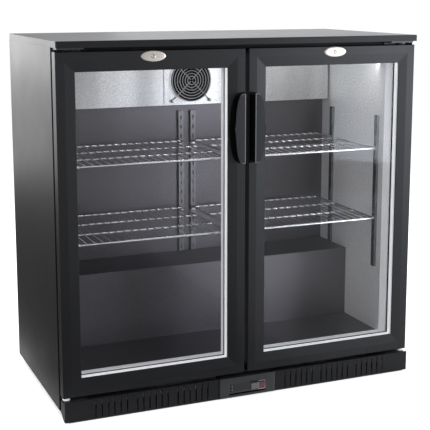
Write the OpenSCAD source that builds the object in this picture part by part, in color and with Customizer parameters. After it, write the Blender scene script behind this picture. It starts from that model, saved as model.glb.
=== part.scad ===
// Two-door back bar refrigerator: steel cabinet, two glazed swing doors, wire
// shelves, fan-cooled evaporator and a rear machine bay.
// Frame: +X to the right, +Y to the back, +Z up. The origin is on the floor, in
// the middle of the width and of the depth.

/* [Cabinet] */
// Width over the side panels
cabinet_w = 900; // [880:10:940]
// Height of the worktop over the floor
cabinet_h = 856; // [850:1:870]
// Depth from the front of the worktop lip to the back panel
cabinet_d = 468; // [460:2:480]
// Thickness of the worktop
worktop_t = 15; // [12:1:18]
// How far the worktop lip stands in front of the cabinet's door face
lip_reach = 48; // [46:1:50]
// Thickness of the steel sheet
sheet = 1; // [0.8:0.1:1.2]
// Thickness of the insulated side walls
wall_t = 40; // [38:1:42]

/* [Interior] */
// Height of the interior floor
floor_z = 86.5; // [84:0.5:90]
// Height of the interior ceiling
ceiling_z = 800; // [790:1:805]
// Distance from the lip to the interior back wall
back_y = 401; // [395:1:405]
// Height of the step over the machine bay
step_z = 270; // [260:1:280]
// Distance from the lip to the front of that step
step_y = 255; // [250:1:260]
// Height of the upper shelves
upper_shelf_z = 570; // [540:5:600]
// Height of the lower shelves
lower_shelf_z = 390; // [350:5:400]
// Wires in one shelf
shelf_wires = 18; // [12:1:22]

/* [Doors] */
// Gap between the two doors
door_gap = 9; // [8:1:12]
// Height of the doors' lower edge
door_bottom = 56; // [55:1:58]
// Height of the doors
door_h = 776; // [770:1:776]
// Thickness of a door without its gasket
door_t = 28; // [28:1:29]
// Distance from the lip to the doors' front
door_y = 10; // [8:1:10]
// Width of the door frame's face
stile_w = 43.5; // [40:0.5:46]
// Width of the flat outer band of that face
band_w = 20; // [16:1:24]
// Depth of the sloping inner band
bevel_d = 3; // [2:0.5:3.5]
// Height of a handle
handle_h = 162; // [150:2:180]
// How far a handle stands out from its door
handle_out = 21; // [18:1:21]
// Radius of a hinge pin
pin_r = 4; // [3.5:0.25:4.5]

/* [Base] */
// Height of the kick plate's upper edge
kick_top = 50; // [48:1:50]
// Height of the side panels' lower edge
base_z = 16; // [14:1:18]
// Slots in each group of the kick plate
slots_per_group = 6; // [4:1:6]
// Radius of a foot's pad
foot_r = 20; // [16:1:22]

/* [Hidden] */
$fn = 64;

half_w = cabinet_w / 2;
spacer_d = 21;
handle_reach = handle_out - door_y;
// Depths below are counted from the lip; this is the middle of the whole depth.
mid_y = (cabinet_d + spacer_d - handle_reach) / 2;
worktop_z = cabinet_h - worktop_t;
inner_x = half_w - wall_t;
steel_x = half_w - sheet;
back_in = cabinet_d - sheet;

// Opening trim and mullion
trim_t = 2.5;
trim_face = 20;
trim_depth = 30;
mullion_w = 86;
mullion_d = 15;
mullion_t = 1.5;

// Machine bay
bay_y = step_y + 35;
bay_z = step_z - 35;

// Service shaft in the back foam, for the pipes and the drain
shaft_x = [284, 356];
shaft_y = [424, 452];
shaft_z = 712;
drain_x = 300;
suction_x = 340;
drain_z = 676;
suction_z = 700;
run_y = 438;

// Doors
door_out = half_w - 0.5;
door_in = door_gap / 2;
door_top = door_bottom + door_h;
hinge_x = half_w - 10;
hinge_y = door_y + 12;
bush_r = 6.5;
bush_flange_r = 8.5;
bush_len = 21;
running_gap = 0.05;
pane_t = 4;
pane_inset = stile_w - 11.5;
outer_pane_y = door_y + bevel_d + 0.5;
spacer_gap = 12;
inner_pane_y = outer_pane_y + pane_t + spacer_gap;
retainer_y = inner_pane_y + pane_t;
gasket_front = 20;
gasket_back = 32;
gasket_gap = 0.4;
lock_x = half_w - 222;
lock_z = door_top - 12.7;
barrel_r = 5.5;
cam_y = door_y + 28.4;
cam_t = 3;
cam_reach = 27;
cam_half = 5;

// Handles
handle_z = door_bottom + 593;
plate_in = 11;
plate_w = 26;
base_in = 6;
base_w = 38;
plate_t = 3.5;

// Hinge brackets
bracket_t = 4;
low_bracket_z = kick_top - 4;
low_bracket_t = 3;
bracket_in = [446, 385];
low_bracket_in = [446, 395];

// Shelves and their supports
shelf_x = [16, 388];
shelf_y = [76, 388];
rod_r = 3;
wire_r = 1.75;
pilaster_w = 14;
pilaster_d = 7;
pilaster_z = [256, 650];
rear_pilaster_z = [step_z + 1, 650];
slot_pitch = 25;
pair_x = 17;
side_pilaster_y = [106, 339];

// Evaporator
cover_y = 367;
cover_z = 668.5;
fan_z = 732;
fan_half = 59.5;
fan_hole_r = 55;
fan_screw = 52.4;
screw_r = 2;
screw_head_r = 3.8;
screw_head_t = 2;

// Controller
panel_w = 144;
kick_z = 2;
kick_y = 3;
kick_t = 3;
power_x = [31, 46];
lamp_x = [11, 28];
rocker_z = 23;
rocker_h = 20;
rocker_tilt = 9;
rocker_side = 0.6;
rocker_y = 4;
rocker_pin_r = 1.2;

// Compressor and condenser
comp = [250, 380];
comp_r = 68;
cond_x = [-330, -130];
cond_y = [404, 450];
cond_z = [36, 212];
cond_fan = [-230, 124];
cond_fan_r = 78;

// Small parts
fan_shaft_r = 2.5;
pipe_r = 4;
drain_r = 7;
spacer_x = 330;
spacer_z = 780;
spacer_bolt_r = 4;
gland_x = 380;
gland_z = 60;
gland_r = 8;
cable_r = 4.5;
foot_stud_r = 5;
foot_places = [
    for (side = [-1, 1])
        for (y = [lip_reach + 30, cabinet_d - 38])
            [side * (half_w - 60), y]
];
grille_screws = [
    for (x = [-425, 0, 425])
        for (z = [base_z + 10, bay_z - 8])
            [x, z]
];
top_screws = [420, 404, 390];
low_screws = [422, 404];
hinge_screw_y = 34;
button_x = -40;
button_z = [20, 29];
button_r = 2.6;

// Box between two corners, given as ranges
module box(x, y, z) {
    translate([min(x), min(y), min(z)])
        cube([abs(x[1] - x[0]), abs(y[1] - y[0]), abs(z[1] - z[0])]);
}

// Outline in depth and height, drawn out across the width
module across(x, points) {
    translate([x[0], 0, 0])
        rotate([90, 0, 90])
            linear_extrude(x[1] - x[0])
                polygon(points);
}

// Outline in width and height, drawn out in depth
module deep(y, points) {
    translate([0, y[1], 0])
        rotate([90, 0, 0])
            linear_extrude(y[1] - y[0])
                polygon(points);
}

// Round bar along the depth
module bar_y(x, z, r, y) {
    translate([x, y[1], z])
        rotate([90, 0, 0])
            cylinder(h = y[1] - y[0], r = r);
}

// Round bar along the width
module bar_x(x, y, z, r) {
    translate([x[0], y, z])
        rotate([0, 90, 0])
            cylinder(h = x[1] - x[0], r = r);
}

// Round bar upright
module bar_z(x, y, z, r) {
    translate([x, y, z[0]])
        cylinder(h = z[1] - z[0], r = r);
}

module both_sides() {
    children();
    mirror([1, 0, 0])
        children();
}

// Moves a piece from depths behind the lip to the part's own frame
module place() {
    translate([0, -mid_y, 0])
        children();
}

// Cabinet shell

module side_panel() {
    color([0.16, 0.16, 0.17])
        place()
            translate([0, 0, base_z])
                linear_extrude(worktop_z - base_z)
                    polygon([
                        [-half_w, lip_reach], [-half_w + trim_face, lip_reach],
                        [-half_w + trim_face, lip_reach + sheet], [-steel_x, lip_reach + sheet],
                        [-steel_x, cabinet_d], [-half_w, cabinet_d]
                    ]);
}

module left_side_panel() {
    side_panel();
}

module right_side_panel() {
    mirror([1, 0, 0])
        side_panel();
}

module back_panel() {
    color([0.16, 0.16, 0.17])
        place()
            difference() {
                box([-steel_x, steel_x], [back_in, cabinet_d], [bay_z + sheet, worktop_z]);
                spacer_holes();
            }
}

module spacer_holes() {
    both_sides()
        bar_y(spacer_x, spacer_z, spacer_bolt_r, [back_in - 1, cabinet_d + 1]);
}

module worktop() {
    color([0.3, 0.3, 0.32])
        place()
            difference() {
                box([-half_w, half_w], [0, cabinet_d], [worktop_z, cabinet_h]);
                box([-steel_x, steel_x], [sheet, back_in],
                    [worktop_z + sheet, cabinet_h - sheet]);
                box([-steel_x, steel_x], [lip_reach, back_in],
                    [worktop_z - 1, worktop_z + 2 * sheet]);
                both_sides()
                    box([-lock_x - 7, -lock_x + cam_reach - 4], [cam_y - 2, cam_y + cam_t + 1],
                        [worktop_z - 1, worktop_z + 2 * sheet]);
                both_sides()
                    for (x = top_screws)
                        bar_z(-x, hinge_screw_y, [worktop_z - 1, worktop_z + 2 * sheet], screw_r);
            }
}

module front_rails() {
    rail_x = half_w - trim_face;
    color([0.12, 0.12, 0.13])
        place() {
            box([-rail_x, rail_x], [lip_reach, lip_reach + sheet],
                [ceiling_z + trim_face, worktop_z]);
            box([-rail_x, rail_x], [lip_reach, lip_reach + sheet],
                [kick_top, floor_z - trim_face]);
        }
}

module base_pan() {
    color([0.45, 0.46, 0.47])
        place()
            difference() {
                box([-steel_x, steel_x], [lip_reach + sheet, back_in], [base_z, base_z + 10]);
                box([-steel_x + sheet, steel_x - sheet], [lip_reach + 2 * sheet, back_in - sheet],
                    [base_z + sheet, base_z + 11]);
                for (p = foot_places)
                    bar_z(p[0], p[1], [base_z - 1, base_z + 2], foot_stud_r + 0.2);
            }
}

module machine_bay_panel() {
    t = sheet;
    color([0.55, 0.56, 0.57])
        place()
            difference() {
                across([-steel_x, steel_x], [
                    [lip_reach + t, kick_top], [bay_y + t, kick_top], [bay_y + t, bay_z],
                    [back_in, bay_z], [back_in, bay_z + t], [bay_y, bay_z + t],
                    [bay_y, kick_top + t], [lip_reach + t, kick_top + t]
                ]);
                box(shaft_x, shaft_y, [bay_z - 1, bay_z + 2]);
            }
}

module foam_insulation() {
    low = kick_top + sheet;
    front = lip_reach + trim_t;
    wall_x = inner_x + sheet;
    color([0.93, 0.87, 0.66])
        place()
            difference() {
                across([-steel_x, steel_x], [
                    [front, low], [bay_y, low], [bay_y, bay_z + sheet],
                    [back_in, bay_z + sheet], [back_in, cabinet_h - sheet],
                    [front, cabinet_h - sheet]
                ]);
                across([-wall_x, wall_x], [
                    [front - 1, floor_z - sheet], [step_y + sheet, floor_z - sheet],
                    [step_y + sheet, step_z - sheet], [back_y + sheet, step_z - sheet],
                    [back_y + sheet, ceiling_z + sheet], [front - 1, ceiling_z + sheet]
                ]);
                box([-inner_x - trim_t, inner_x + trim_t], [front - 1, lip_reach + trim_depth],
                    [floor_z - trim_t, ceiling_z + trim_t]);
                box(shaft_x, shaft_y, [bay_z, shaft_z]);
                box(shaft_x, [back_y, shaft_y[0] + 1], [drain_z - 12, shaft_z]);
            }
}

// Interior

module liner_side_walls() {
    top = ceiling_z + sheet;
    color([0.75, 0.76, 0.77])
        place()
            both_sides()
                difference() {
                    box([-inner_x - sheet, -inner_x], [lip_reach + trim_depth, back_y + sheet],
                        [floor_z - sheet, top]);
                    box([-inner_x - 2, -inner_x + 1], [step_y + sheet, back_y + 2],
                        [floor_z - 2, step_z - sheet]);
                }
}

module liner_back_and_ceiling() {
    t = sheet;
    color([0.75, 0.76, 0.77])
        place()
            difference() {
                across([-inner_x, inner_x], [
                    [lip_reach + trim_depth, ceiling_z], [back_y, ceiling_z], [back_y, step_z],
                    [back_y + t, step_z], [back_y + t, ceiling_z + t],
                    [lip_reach + trim_depth, ceiling_z + t]
                ]);
                bar_y(drain_x, drain_z, drain_r + 0.2, [back_y - 1, back_y + 2]);
                bar_y(suction_x, suction_z, pipe_r + 0.2, [back_y - 1, back_y + 2]);
            }
}

module liner_floor() {
    t = sheet;
    color([0.45, 0.46, 0.47])
        place()
            across([-inner_x, inner_x], [
                [lip_reach + trim_depth, floor_z], [step_y, floor_z], [step_y, step_z],
                [back_y + t, step_z], [back_y + t, step_z - t], [step_y + t, step_z - t],
                [step_y + t, floor_z - t], [lip_reach + trim_depth, floor_z - t]
            ]);
}

// Ring of a rectangular section round the cabinet's opening
module opening_ring(grow, y) {
    difference() {
        box([-inner_x - grow, inner_x + grow], y, [floor_z - grow, ceiling_z + grow]);
        box([-inner_x, inner_x], [y[0] - 1, y[1] + 1], [floor_z, ceiling_z]);
    }
}

module breaker_frame() {
    color([0.78, 0.78, 0.8])
        place()
            union() {
                opening_ring(trim_face, [lip_reach, lip_reach + trim_t]);
                opening_ring(trim_t, [lip_reach, lip_reach + trim_depth]);
            }
}

module centre_mullion() {
    half = mullion_w / 2;
    back = lip_reach + mullion_d;
    color([0.78, 0.78, 0.8])
        place()
            difference() {
                box([-half, half], [lip_reach, back], [floor_z, ceiling_z]);
                box([-half + mullion_t, half - mullion_t], [lip_reach + mullion_t, back - mullion_t],
                    [floor_z - 1, ceiling_z + 1]);
            }
}

// Slotted channel, drawn with its back on the plane y = 0 and its face at -y
module pilaster(z) {
    skin = 1.2;
    count = floor((z[1] - z[0]) / slot_pitch);
    difference() {
        box([-pilaster_w / 2, pilaster_w / 2], [-pilaster_d, 0], z);
        box([-pilaster_w / 2 + skin, pilaster_w / 2 - skin], [-pilaster_d + skin, 1],
            [z[0] - 1, z[1] + 1]);
        for (i = [0:count - 1])
            box([-2, 2], [-pilaster_d - 1, -pilaster_d + 2],
                [z[0] + 6 + i * slot_pitch, z[0] + 16 + i * slot_pitch]);
    }
}

module shelf_pilasters() {
    color([0.7, 0.71, 0.72])
        place()
            both_sides() {
                for (y = side_pilaster_y)
                    translate([-inner_x, y, 0])
                        rotate([0, 0, 90])
                            pilaster(y < step_y ? pilaster_z : rear_pilaster_z);
                translate([-pair_x, back_y, 0])
                    pilaster(rear_pilaster_z);
                translate([-pair_x, lip_reach + mullion_d, 0])
                    rotate([0, 0, 180])
                        pilaster(pilaster_z);
            }
}

module shelf_clips() {
    clip_h = 6;
    side_face = inner_x - pilaster_d;
    color([0.8, 0.8, 0.81])
        place()
            both_sides()
                for (z = [upper_shelf_z, lower_shelf_z]) {
                    for (y = side_pilaster_y)
                        box([-side_face, -shelf_x[1] + rod_r], [y - 5, y + 5],
                            [z - rod_r - clip_h, z - rod_r]);
                    box([-pair_x - 5, -pair_x + 5], [shelf_y[1] - rod_r, back_y - pilaster_d],
                        [z - rod_r - clip_h, z - rod_r]);
                    box([-pair_x - 5, -pair_x + 5],
                        [lip_reach + mullion_d + pilaster_d, shelf_y[0] + rod_r],
                        [z - rod_r - clip_h, z - rod_r]);
                }
}

// Wire shelf of the left half: a rod frame, two cross rods and wires on top
module wire_shelf(z) {
    x = -[shelf_x[1], shelf_x[0]];
    pitch = (shelf_x[1] - shelf_x[0]) / (shelf_wires + 1);
    color([0.82, 0.82, 0.83])
        place()
            union() {
                for (y = shelf_y)
                    bar_x([x[0] - rod_r, x[1] + rod_r], y, z, rod_r);
                for (px = x)
                    bar_y(px, z, rod_r, shelf_y);
                for (f = [1 / 3, 2 / 3])
                    bar_x(x, shelf_y[0] + f * (shelf_y[1] - shelf_y[0]), z - 0.5, rod_r - 0.5);
                for (i = [1:shelf_wires])
                    bar_y(x[0] + i * pitch, z + rod_r - 0.75, wire_r, shelf_y);
            }
}

module upper_left_shelf() {
    wire_shelf(upper_shelf_z);
}

module upper_right_shelf() {
    mirror([1, 0, 0])
        wire_shelf(upper_shelf_z);
}

module lower_left_shelf() {
    wire_shelf(lower_shelf_z);
}

module lower_right_shelf() {
    mirror([1, 0, 0])
        wire_shelf(lower_shelf_z);
}

// Evaporator

module at_fan_screws() {
    for (sx = [-1, 1])
        for (sz = [-1, 1])
            translate([sx * fan_screw, 0, fan_z + sz * fan_screw])
                children();
}

module evaporator_cover() {
    plate_half = 74;
    vent_w = 60;
    color([0.8, 0.81, 0.82])
        place() {
            difference() {
                across([3 - inner_x, inner_x - 3], [
                    [cover_y, cover_z], [back_y - 6, cover_z], [back_y - 6, cover_z + sheet],
                    [cover_y + sheet, cover_z + sheet], [cover_y + sheet, ceiling_z],
                    [cover_y, ceiling_z]
                ]);
                bar_y(0, fan_z, fan_hole_r, [cover_y - 1, cover_y + 2]);
                at_fan_screws()
                    bar_y(0, 0, screw_r, [cover_y - 1, cover_y + 2]);
                both_sides()
                    for (i = [0:3])
                        box([-350 + i * 75, -350 + i * 75 + vent_w],
                            [cover_y + 8, back_y - 14], [cover_z - 1, cover_z + 2]);
            }
            difference() {
                box([-plate_half, plate_half], [cover_y - 2, cover_y], [cover_z + 4, ceiling_z - 6]);
                bar_y(0, fan_z, fan_hole_r, [cover_y - 3, cover_y + 1]);
                at_fan_screws()
                    bar_y(0, 0, screw_r, [cover_y - 3, cover_y + 1]);
            }
        }
}

// Finned block: a tube plate with fins, one outline drawn out upwards
module fin_block(x, y, z, pitch) {
    fin_t = 1.6;
    spine = 4;
    count = floor((x[1] - x[0]) / pitch);
    box(x, [y[1] - spine, y[1]], z);
    for (i = [0:count])
        box([x[0] + i * pitch, x[0] + i * pitch + fin_t], [y[0], y[1] - spine + 1], z);
}

module evaporator_coil() {
    color([0.7, 0.72, 0.74])
        place()
            both_sides()
                union() {
                    fin_block([-392, -84], [374, 394], [690, 786], 14);
                    bar_x([-400, -76], 392, 715, 4);
                    bar_x([-400, -76], 392, 760, 4);
                }
}

module evaporator_fan_frame() {
    y = [cover_y + sheet, cover_y + sheet + 25];
    hub_r = 20;
    color([0.1, 0.1, 0.11])
        place()
            union() {
                difference() {
                    box([-fan_half, fan_half], y, [fan_z - fan_half, fan_z + fan_half]);
                    bar_y(0, fan_z, 57, [y[0] - 1, y[1] + 1]);
                    at_fan_screws()
                        bar_y(0, 0, screw_r + 0.2, [y[0] - 1, y[1] + 1]);
                }
                bar_y(0, fan_z, hub_r, [y[1] - 6, y[1]]);
                bar_y(0, fan_z, fan_shaft_r, [y[0] + 2, y[1] - 3]);
                for (a = [45:90:315])
                    translate([0, 0, fan_z])
                        rotate([0, a, 0])
                            box([hub_r - 2, 58], [y[1] - 4, y[1] - 1], [-2.5, 2.5]);
            }
}

// Fan wheel with its axis along the depth, its middle at the origin
module fan_wheel(hub_r, tip_r, width, blades, shaft_r) {
    difference() {
        union() {
            bar_y(0, 0, hub_r, [-width / 2, width / 2]);
            for (i = [0:blades - 1])
                rotate([0, i * 360 / blades, 0])
                    translate([hub_r - 1, 0, 0])
                        rotate([35, 0, 0])
                            box([0, tip_r - hub_r], [-0.8, 0.8], [-width * 0.62, width * 0.62]);
        }
        bar_y(0, 0, shaft_r + running_gap, [-width, width]);
    }
}

module evaporator_fan_blade() {
    color([0.13, 0.13, 0.14])
        place()
            translate([0, cover_y + 10, fan_z])
                fan_wheel(19, 53, 13, 7, fan_shaft_r);
}

module evaporator_fan_guard() {
    ring_y = cover_y - 8;
    wire = 1.1;
    color([0.08, 0.08, 0.09])
        place()
            translate([0, ring_y, fan_z])
                rotate([90, 0, 0])
                    union() {
                        for (r = [11:7.2:55])
                            rotate_extrude()
                                translate([r, 0])
                                    circle(r = wire, $fn = 16);
                        for (a = [45:90:315])
                            rotate([0, 0, a])
                                difference() {
                                    union() {
                                        translate([0, 0, -1])
                                            rotate([0, 90, 0])
                                                cylinder(h = 70, r = wire);
                                        translate([fan_screw * sqrt(2), 0, -6])
                                            cylinder(h = 6, r = 4.5);
                                    }
                                    translate([fan_screw * sqrt(2), 0, -7])
                                        cylinder(h = 9, r = screw_r);
                                }
                    }
}

module cabinet_lamp() {
    x = [-210, 210];
    y = [96, 122];
    color([0.85, 0.86, 0.87])
        place() {
            difference() {
                box(x, y, [ceiling_z - 12, ceiling_z]);
                box([x[0] + 3, x[1] - 3], [y[0] + 2, y[1] - 2], [ceiling_z - 13, ceiling_z - 3]);
            }
            box([x[0] + 3, x[1] - 3], [y[0] + 2, y[1] - 2], [ceiling_z - 11, ceiling_z - 8]);
        }
}

// Machine bay

module compressor() {
    plate_z = base_z + 10;
    can_z = plate_z + 5;
    can_h = 156;
    feet = [[-68, -52], [68, -52], [-68, 52], [68, 52]];
    color([0.06, 0.06, 0.07])
        place()
            translate([comp[0], comp[1], 0]) {
                difference() {
                    box([-82, 82], [-66, 66], [plate_z, plate_z + 4]);
                    for (p = feet)
                        bar_z(p[0], p[1], [plate_z - 1, plate_z + 5], 4);
                }
                translate([0, 0, can_z - 1])
                    rotate_extrude()
                        polygon([
                            [0, 0], [comp_r - 22, 0], [comp_r - 6, 16], [comp_r - 3, 60],
                            [comp_r, 62], [comp_r, 68], [comp_r - 3, 70], [comp_r - 4, 118],
                            [comp_r - 16, 142], [comp_r - 38, can_h], [0, can_h]
                        ]);
                for (p = feet)
                    difference() {
                        bar_z(p[0], p[1], [base_z + sheet, plate_z], 9);
                        bar_z(p[0], p[1], [base_z, plate_z + 1], 4);
                    }
            }
}

module condenser_coil() {
    color([0.12, 0.12, 0.13])
        place()
            union() {
                fin_block(cond_x, cond_y, cond_z, 12.5);
                for (z = [60:40:190])
                    bar_x([cond_x[0] - 8, cond_x[1] + 8], cond_y[1] - 4, z, 4);
            }
}

module condenser_fan_motor() {
    z0 = base_z + sheet;
    plate = [cond_y[0] - 6, cond_y[0] - 3];
    shaft_y = [350, 386];
    color([0.35, 0.36, 0.37])
        place()
            union() {
                difference() {
                    box([cond_x[0] - 6, cond_x[1] + 6], plate, [z0, cond_z[1]]);
                    bar_y(cond_fan[0], cond_fan[1], cond_fan_r + 6, [plate[0] - 1, plate[1] + 1]);
                }
                bar_y(cond_fan[0], cond_fan[1], 28, [308, 352]);
                bar_y(cond_fan[0], cond_fan[1], fan_shaft_r, shaft_y);
                for (s = [-1, 1]) {
                    box([cond_fan[0] + s * 20, cond_fan[0] + s * 100], [328, 334],
                        [cond_fan[1] - 5, cond_fan[1] + 5]);
                    box([cond_fan[0] + s * 94, cond_fan[0] + s * 100], [328, plate[0] + 1],
                        [cond_fan[1] - 5, cond_fan[1] + 5]);
                }
            }
}

module condenser_fan_blade() {
    color([0.75, 0.76, 0.78])
        place()
            translate([cond_fan[0], 374, cond_fan[1]])
                fan_wheel(20, cond_fan_r, 18, 5, fan_shaft_r);
}

// Pipe through a list of points, with a ball at each bend
module pipe_run(points, r) {
    for (i = [0:len(points) - 2]) {
        a = points[i];
        v = points[i + 1] - a;
        length = norm(v);
        translate(a)
            rotate([0, acos(v[2] / length), atan2(v[1], v[0])])
                cylinder(h = length, r = r);
    }
    for (i = [1:1:len(points) - 2])
        translate(points[i])
            sphere(r = r + 0.3);
}

module refrigerant_pipes() {
    comp_side = comp[1] - comp_r - 4;
    color([0.72, 0.45, 0.3])
        place() {
            pipe_run([[suction_x, 396, suction_z], [suction_x, run_y, suction_z],
                [suction_x, run_y, 150], [comp[0] + comp_r + 3, run_y, 150]], pipe_r);
            pipe_run([[comp[0] - comp_r - 2, comp[1], 130], [120, comp[1], 130],
                [120, comp[1], 200], [cond_x[1] + 24, comp[1], 200],
                [cond_x[1] + 24, comp[1], 60]], pipe_r);
            translate([cond_x[1] + 64, comp_side, base_z + 40])
                rotate([0, 90, 0])
                    cylinder(h = 110, r = 9);
        }
}

module condensate_drain() {
    tray = [[178, 322], [324, 436], [186, 210]];
    color([0.2, 0.2, 0.21])
        place() {
            difference() {
                union() {
                    bar_y(drain_x, drain_z, drain_r, [back_y - 4, run_y]);
                    bar_z(drain_x, run_y - 1, [216, drain_z], drain_r);
                }
                bar_y(drain_x, drain_z, drain_r - 1.5, [back_y - 5, run_y - 2]);
                bar_z(drain_x, run_y - 1, [215, drain_z], drain_r - 1.5);
            }
            difference() {
                box(tray[0], tray[1], tray[2]);
                box(tray[0] + [2, -2], tray[1] + [2, -2], [tray[2][0] + 2, tray[2][1] + 1]);
            }
        }
}

module rear_grille() {
    z = [base_z + 2, bay_z - 1];
    slot_w = 90;
    color([0.2, 0.2, 0.21])
        place()
            difference() {
                box([-440, 440], [cabinet_d - sheet, cabinet_d + 0.4], z);
                for (i = [0:11])
                    for (j = [-3.5:1:2.5])
                        box([j * 110 + 10, j * 110 + 10 + slot_w], [cabinet_d - 3, cabinet_d + 2],
                            [z[0] + 24 + i * 15, z[0] + 30 + i * 15]);
                bar_y(gland_x, gland_z, gland_r + 0.1, [cabinet_d - 3, cabinet_d + 2]);
                for (p = grille_screws)
                    bar_y(p[0], p[1], screw_r, [cabinet_d - 3, cabinet_d + 2]);
            }
}

module rear_spacers() {
    color([0.1, 0.1, 0.11])
        place()
            both_sides()
                union() {
                    translate([spacer_x, cabinet_d, spacer_z])
                        rotate([-90, 0, 0])
                            cylinder(h = spacer_d, r1 = 20, r2 = 14);
                    bar_y(spacer_x, spacer_z, spacer_bolt_r, [back_in, cabinet_d + 1]);
                }
}

module cable_gland() {
    color([0.08, 0.08, 0.09])
        place()
            difference() {
                union() {
                    bar_y(gland_x, gland_z, gland_r, [cabinet_d - 6, cabinet_d + 1]);
                    bar_y(gland_x, gland_z, gland_r + 4, [cabinet_d + 0.4, cabinet_d + 6]);
                }
                bar_y(gland_x, gland_z, cable_r, [cabinet_d - 7, cabinet_d + 7]);
            }
}

// Base front

module kick_slots() {
    slot_w = 3.5;
    pitch = 15;
    for (group = [1:3])
        for (i = [0:slots_per_group - 1])
            box([group * 100 + i * pitch, group * 100 + i * pitch + slot_w],
                [kick_y - 1, kick_y + kick_t + 1], [kick_z + 4, kick_top - 4]);
}

module kick_plate() {
    end_x = half_w - 1;
    back = lip_reach - 12;
    color([0.07, 0.07, 0.08])
        place()
            difference() {
                union() {
                    box([-end_x, end_x], [kick_y, kick_y + kick_t], [kick_z, kick_top]);
                    both_sides()
                        across([end_x - kick_t, end_x], [
                            [kick_y, kick_z], [kick_y + 10, kick_z], [back, kick_z + 12],
                            [back, low_bracket_z - 1], [kick_y, low_bracket_z - 1]
                        ]);
                    both_sides()
                        box([80, 390], [kick_y, kick_y + 14], [kick_top - 2, kick_top]);
                }
                both_sides()
                    kick_slots();
                box([-panel_w / 2 + 5, panel_w / 2 - 5], [kick_y - 1, kick_y + kick_t + 1],
                    [kick_z + 2, kick_top - 2]);
            }
}

module controller_housing() {
    half = panel_w / 2;
    color([0.1, 0.1, 0.11])
        place()
            difference() {
                union() {
                    box([-half, half], [0, kick_y], [kick_z, kick_top]);
                    box([-half + 6, half - 6], [0, 40], [kick_z + 3, kick_top - 3]);
                }
                box([-half + 10, half - 10], [16, 41], [kick_z + 5, kick_top - 5]);
                for (x = [power_x, lamp_x]) {
                    box(x, [-1, 17], [rocker_z - rocker_h / 2, rocker_z + rocker_h / 2]);
                    bar_x([x[0] - 1, x[1] + 1], rocker_y, rocker_z, rocker_pin_r + running_gap);
                }
                box([-33, 8], [-1, 1.5], [18, 38]);
                box([-47, 47], [-1, 1.5], [7, 10]);
                for (z = button_z)
                    bar_y(button_x, z, button_r + 0.1, [-1, 17]);
            }
}

// Rocker cap: two flats that meet at the middle, tipped so that its lower edge is in,
// with a pin at each side that turns in the housing
module rocker(x) {
    place()
        translate([0, rocker_y, rocker_z])
            rotate([rocker_tilt, 0, 0])
                union() {
                    across([x[0] + rocker_side, x[1] - rocker_side], [
                        [-4.2, -8.8], [-4.8, 0], [-4.2, 8.8], [4, 7.5], [4, -7.5]
                    ]);
                    bar_x([x[0] - 0.8, x[1] + 0.8], 0, 0, rocker_pin_r);
                }
}

module power_rocker() {
    color([0.7, 0.06, 0.08])
        rocker(power_x);
}

module lamp_rocker() {
    color([0.25, 0.25, 0.27])
        rocker(lamp_x);
}

module control_button(z) {
    color([0.3, 0.3, 0.32])
        place()
            bar_y(button_x, z, button_r, [-1.2, 14]);
}

module up_button() {
    control_button(button_z[1]);
}

module down_button() {
    control_button(button_z[0]);
}

module leveling_feet() {
    color([0.06, 0.06, 0.07])
        place()
            for (p = foot_places)
                translate([p[0], p[1], 0])
                    rotate_extrude()
                        polygon([
                            [0, 0], [foot_r - 3, 0], [foot_r, 3], [foot_r, 9], [foot_r - 4, 13],
                            [9, base_z], [foot_stud_r, base_z], [foot_stud_r, 30], [0, 30]
                        ]);
}

// Hinges

module hinge_brackets() {
    top_z = worktop_z - bracket_t;
    y = [hinge_y - 10, lip_reach];
    color([0.05, 0.05, 0.06])
        place()
            both_sides() {
                difference() {
                    union() {
                        box(-bracket_in, y, [top_z, worktop_z]);
                        box(-bracket_in, [lip_reach - 2, lip_reach], [top_z - 15, worktop_z]);
                    }
                    bar_z(-hinge_x, hinge_y, [top_z - 1, worktop_z + 1], pin_r);
                    for (x = top_screws)
                        bar_z(-x, hinge_screw_y, [top_z - 1, worktop_z + 1], screw_r);
                }
                difference() {
                    union() {
                        box(-low_bracket_in, y, [low_bracket_z, low_bracket_z + low_bracket_t]);
                        box(-low_bracket_in, [lip_reach - 2, lip_reach],
                            [low_bracket_z, low_bracket_z + 20]);
                    }
                    bar_z(-hinge_x, hinge_y, [low_bracket_z - 1, low_bracket_z + 4], pin_r);
                    for (x = low_screws)
                        bar_z(-x, hinge_screw_y, [low_bracket_z - 1, low_bracket_z + 4], screw_r);
                }
            }
}

module hinge_pins() {
    color([0.75, 0.75, 0.76])
        place()
            both_sides() {
                bar_z(-hinge_x, hinge_y, [door_top - bush_len + 1, worktop_z], pin_r);
                bar_z(-hinge_x, hinge_y, [low_bracket_z, door_bottom + bush_len - 1], pin_r);
            }
}

// Pan-head screw on a face at the origin, its shank along +z
module screw(length) {
    translate([0, 0, -screw_head_t])
        cylinder(h = screw_head_t, r = screw_head_r);
    translate([0, 0, -0.5])
        cylinder(h = length + 0.5, r = screw_r);
}

module case_screws() {
    color([0.75, 0.75, 0.76])
        place() {
            both_sides() {
                for (x = top_screws)
                    translate([-x, hinge_screw_y, worktop_z - bracket_t])
                        screw(bracket_t + 2);
                for (x = low_screws)
                    translate([-x, hinge_screw_y, low_bracket_z + low_bracket_t])
                        rotate([180, 0, 0])
                            screw(low_bracket_t + 3);
            }
            at_fan_screws()
                translate([0, cover_y - 8, 0])
                    rotate([-90, 0, 0])
                        screw(30);
            for (p = grille_screws)
                translate([p[0], cabinet_d + 0.4, p[1]])
                    rotate([90, 0, 0])
                        screw(1.3);
        }
}

// Doors. Each module draws the left door's piece.

// Slab as large as the door less an inset on every edge
module door_slab(inset, y) {
    box([-door_out + inset, -door_in - inset], y, [door_bottom + inset, door_top - inset]);
}

module door_ring(outer, inner, y) {
    difference() {
        door_slab(outer, y);
        door_slab(inner, [y[0] - 1, y[1] + 1]);
    }
}

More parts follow.
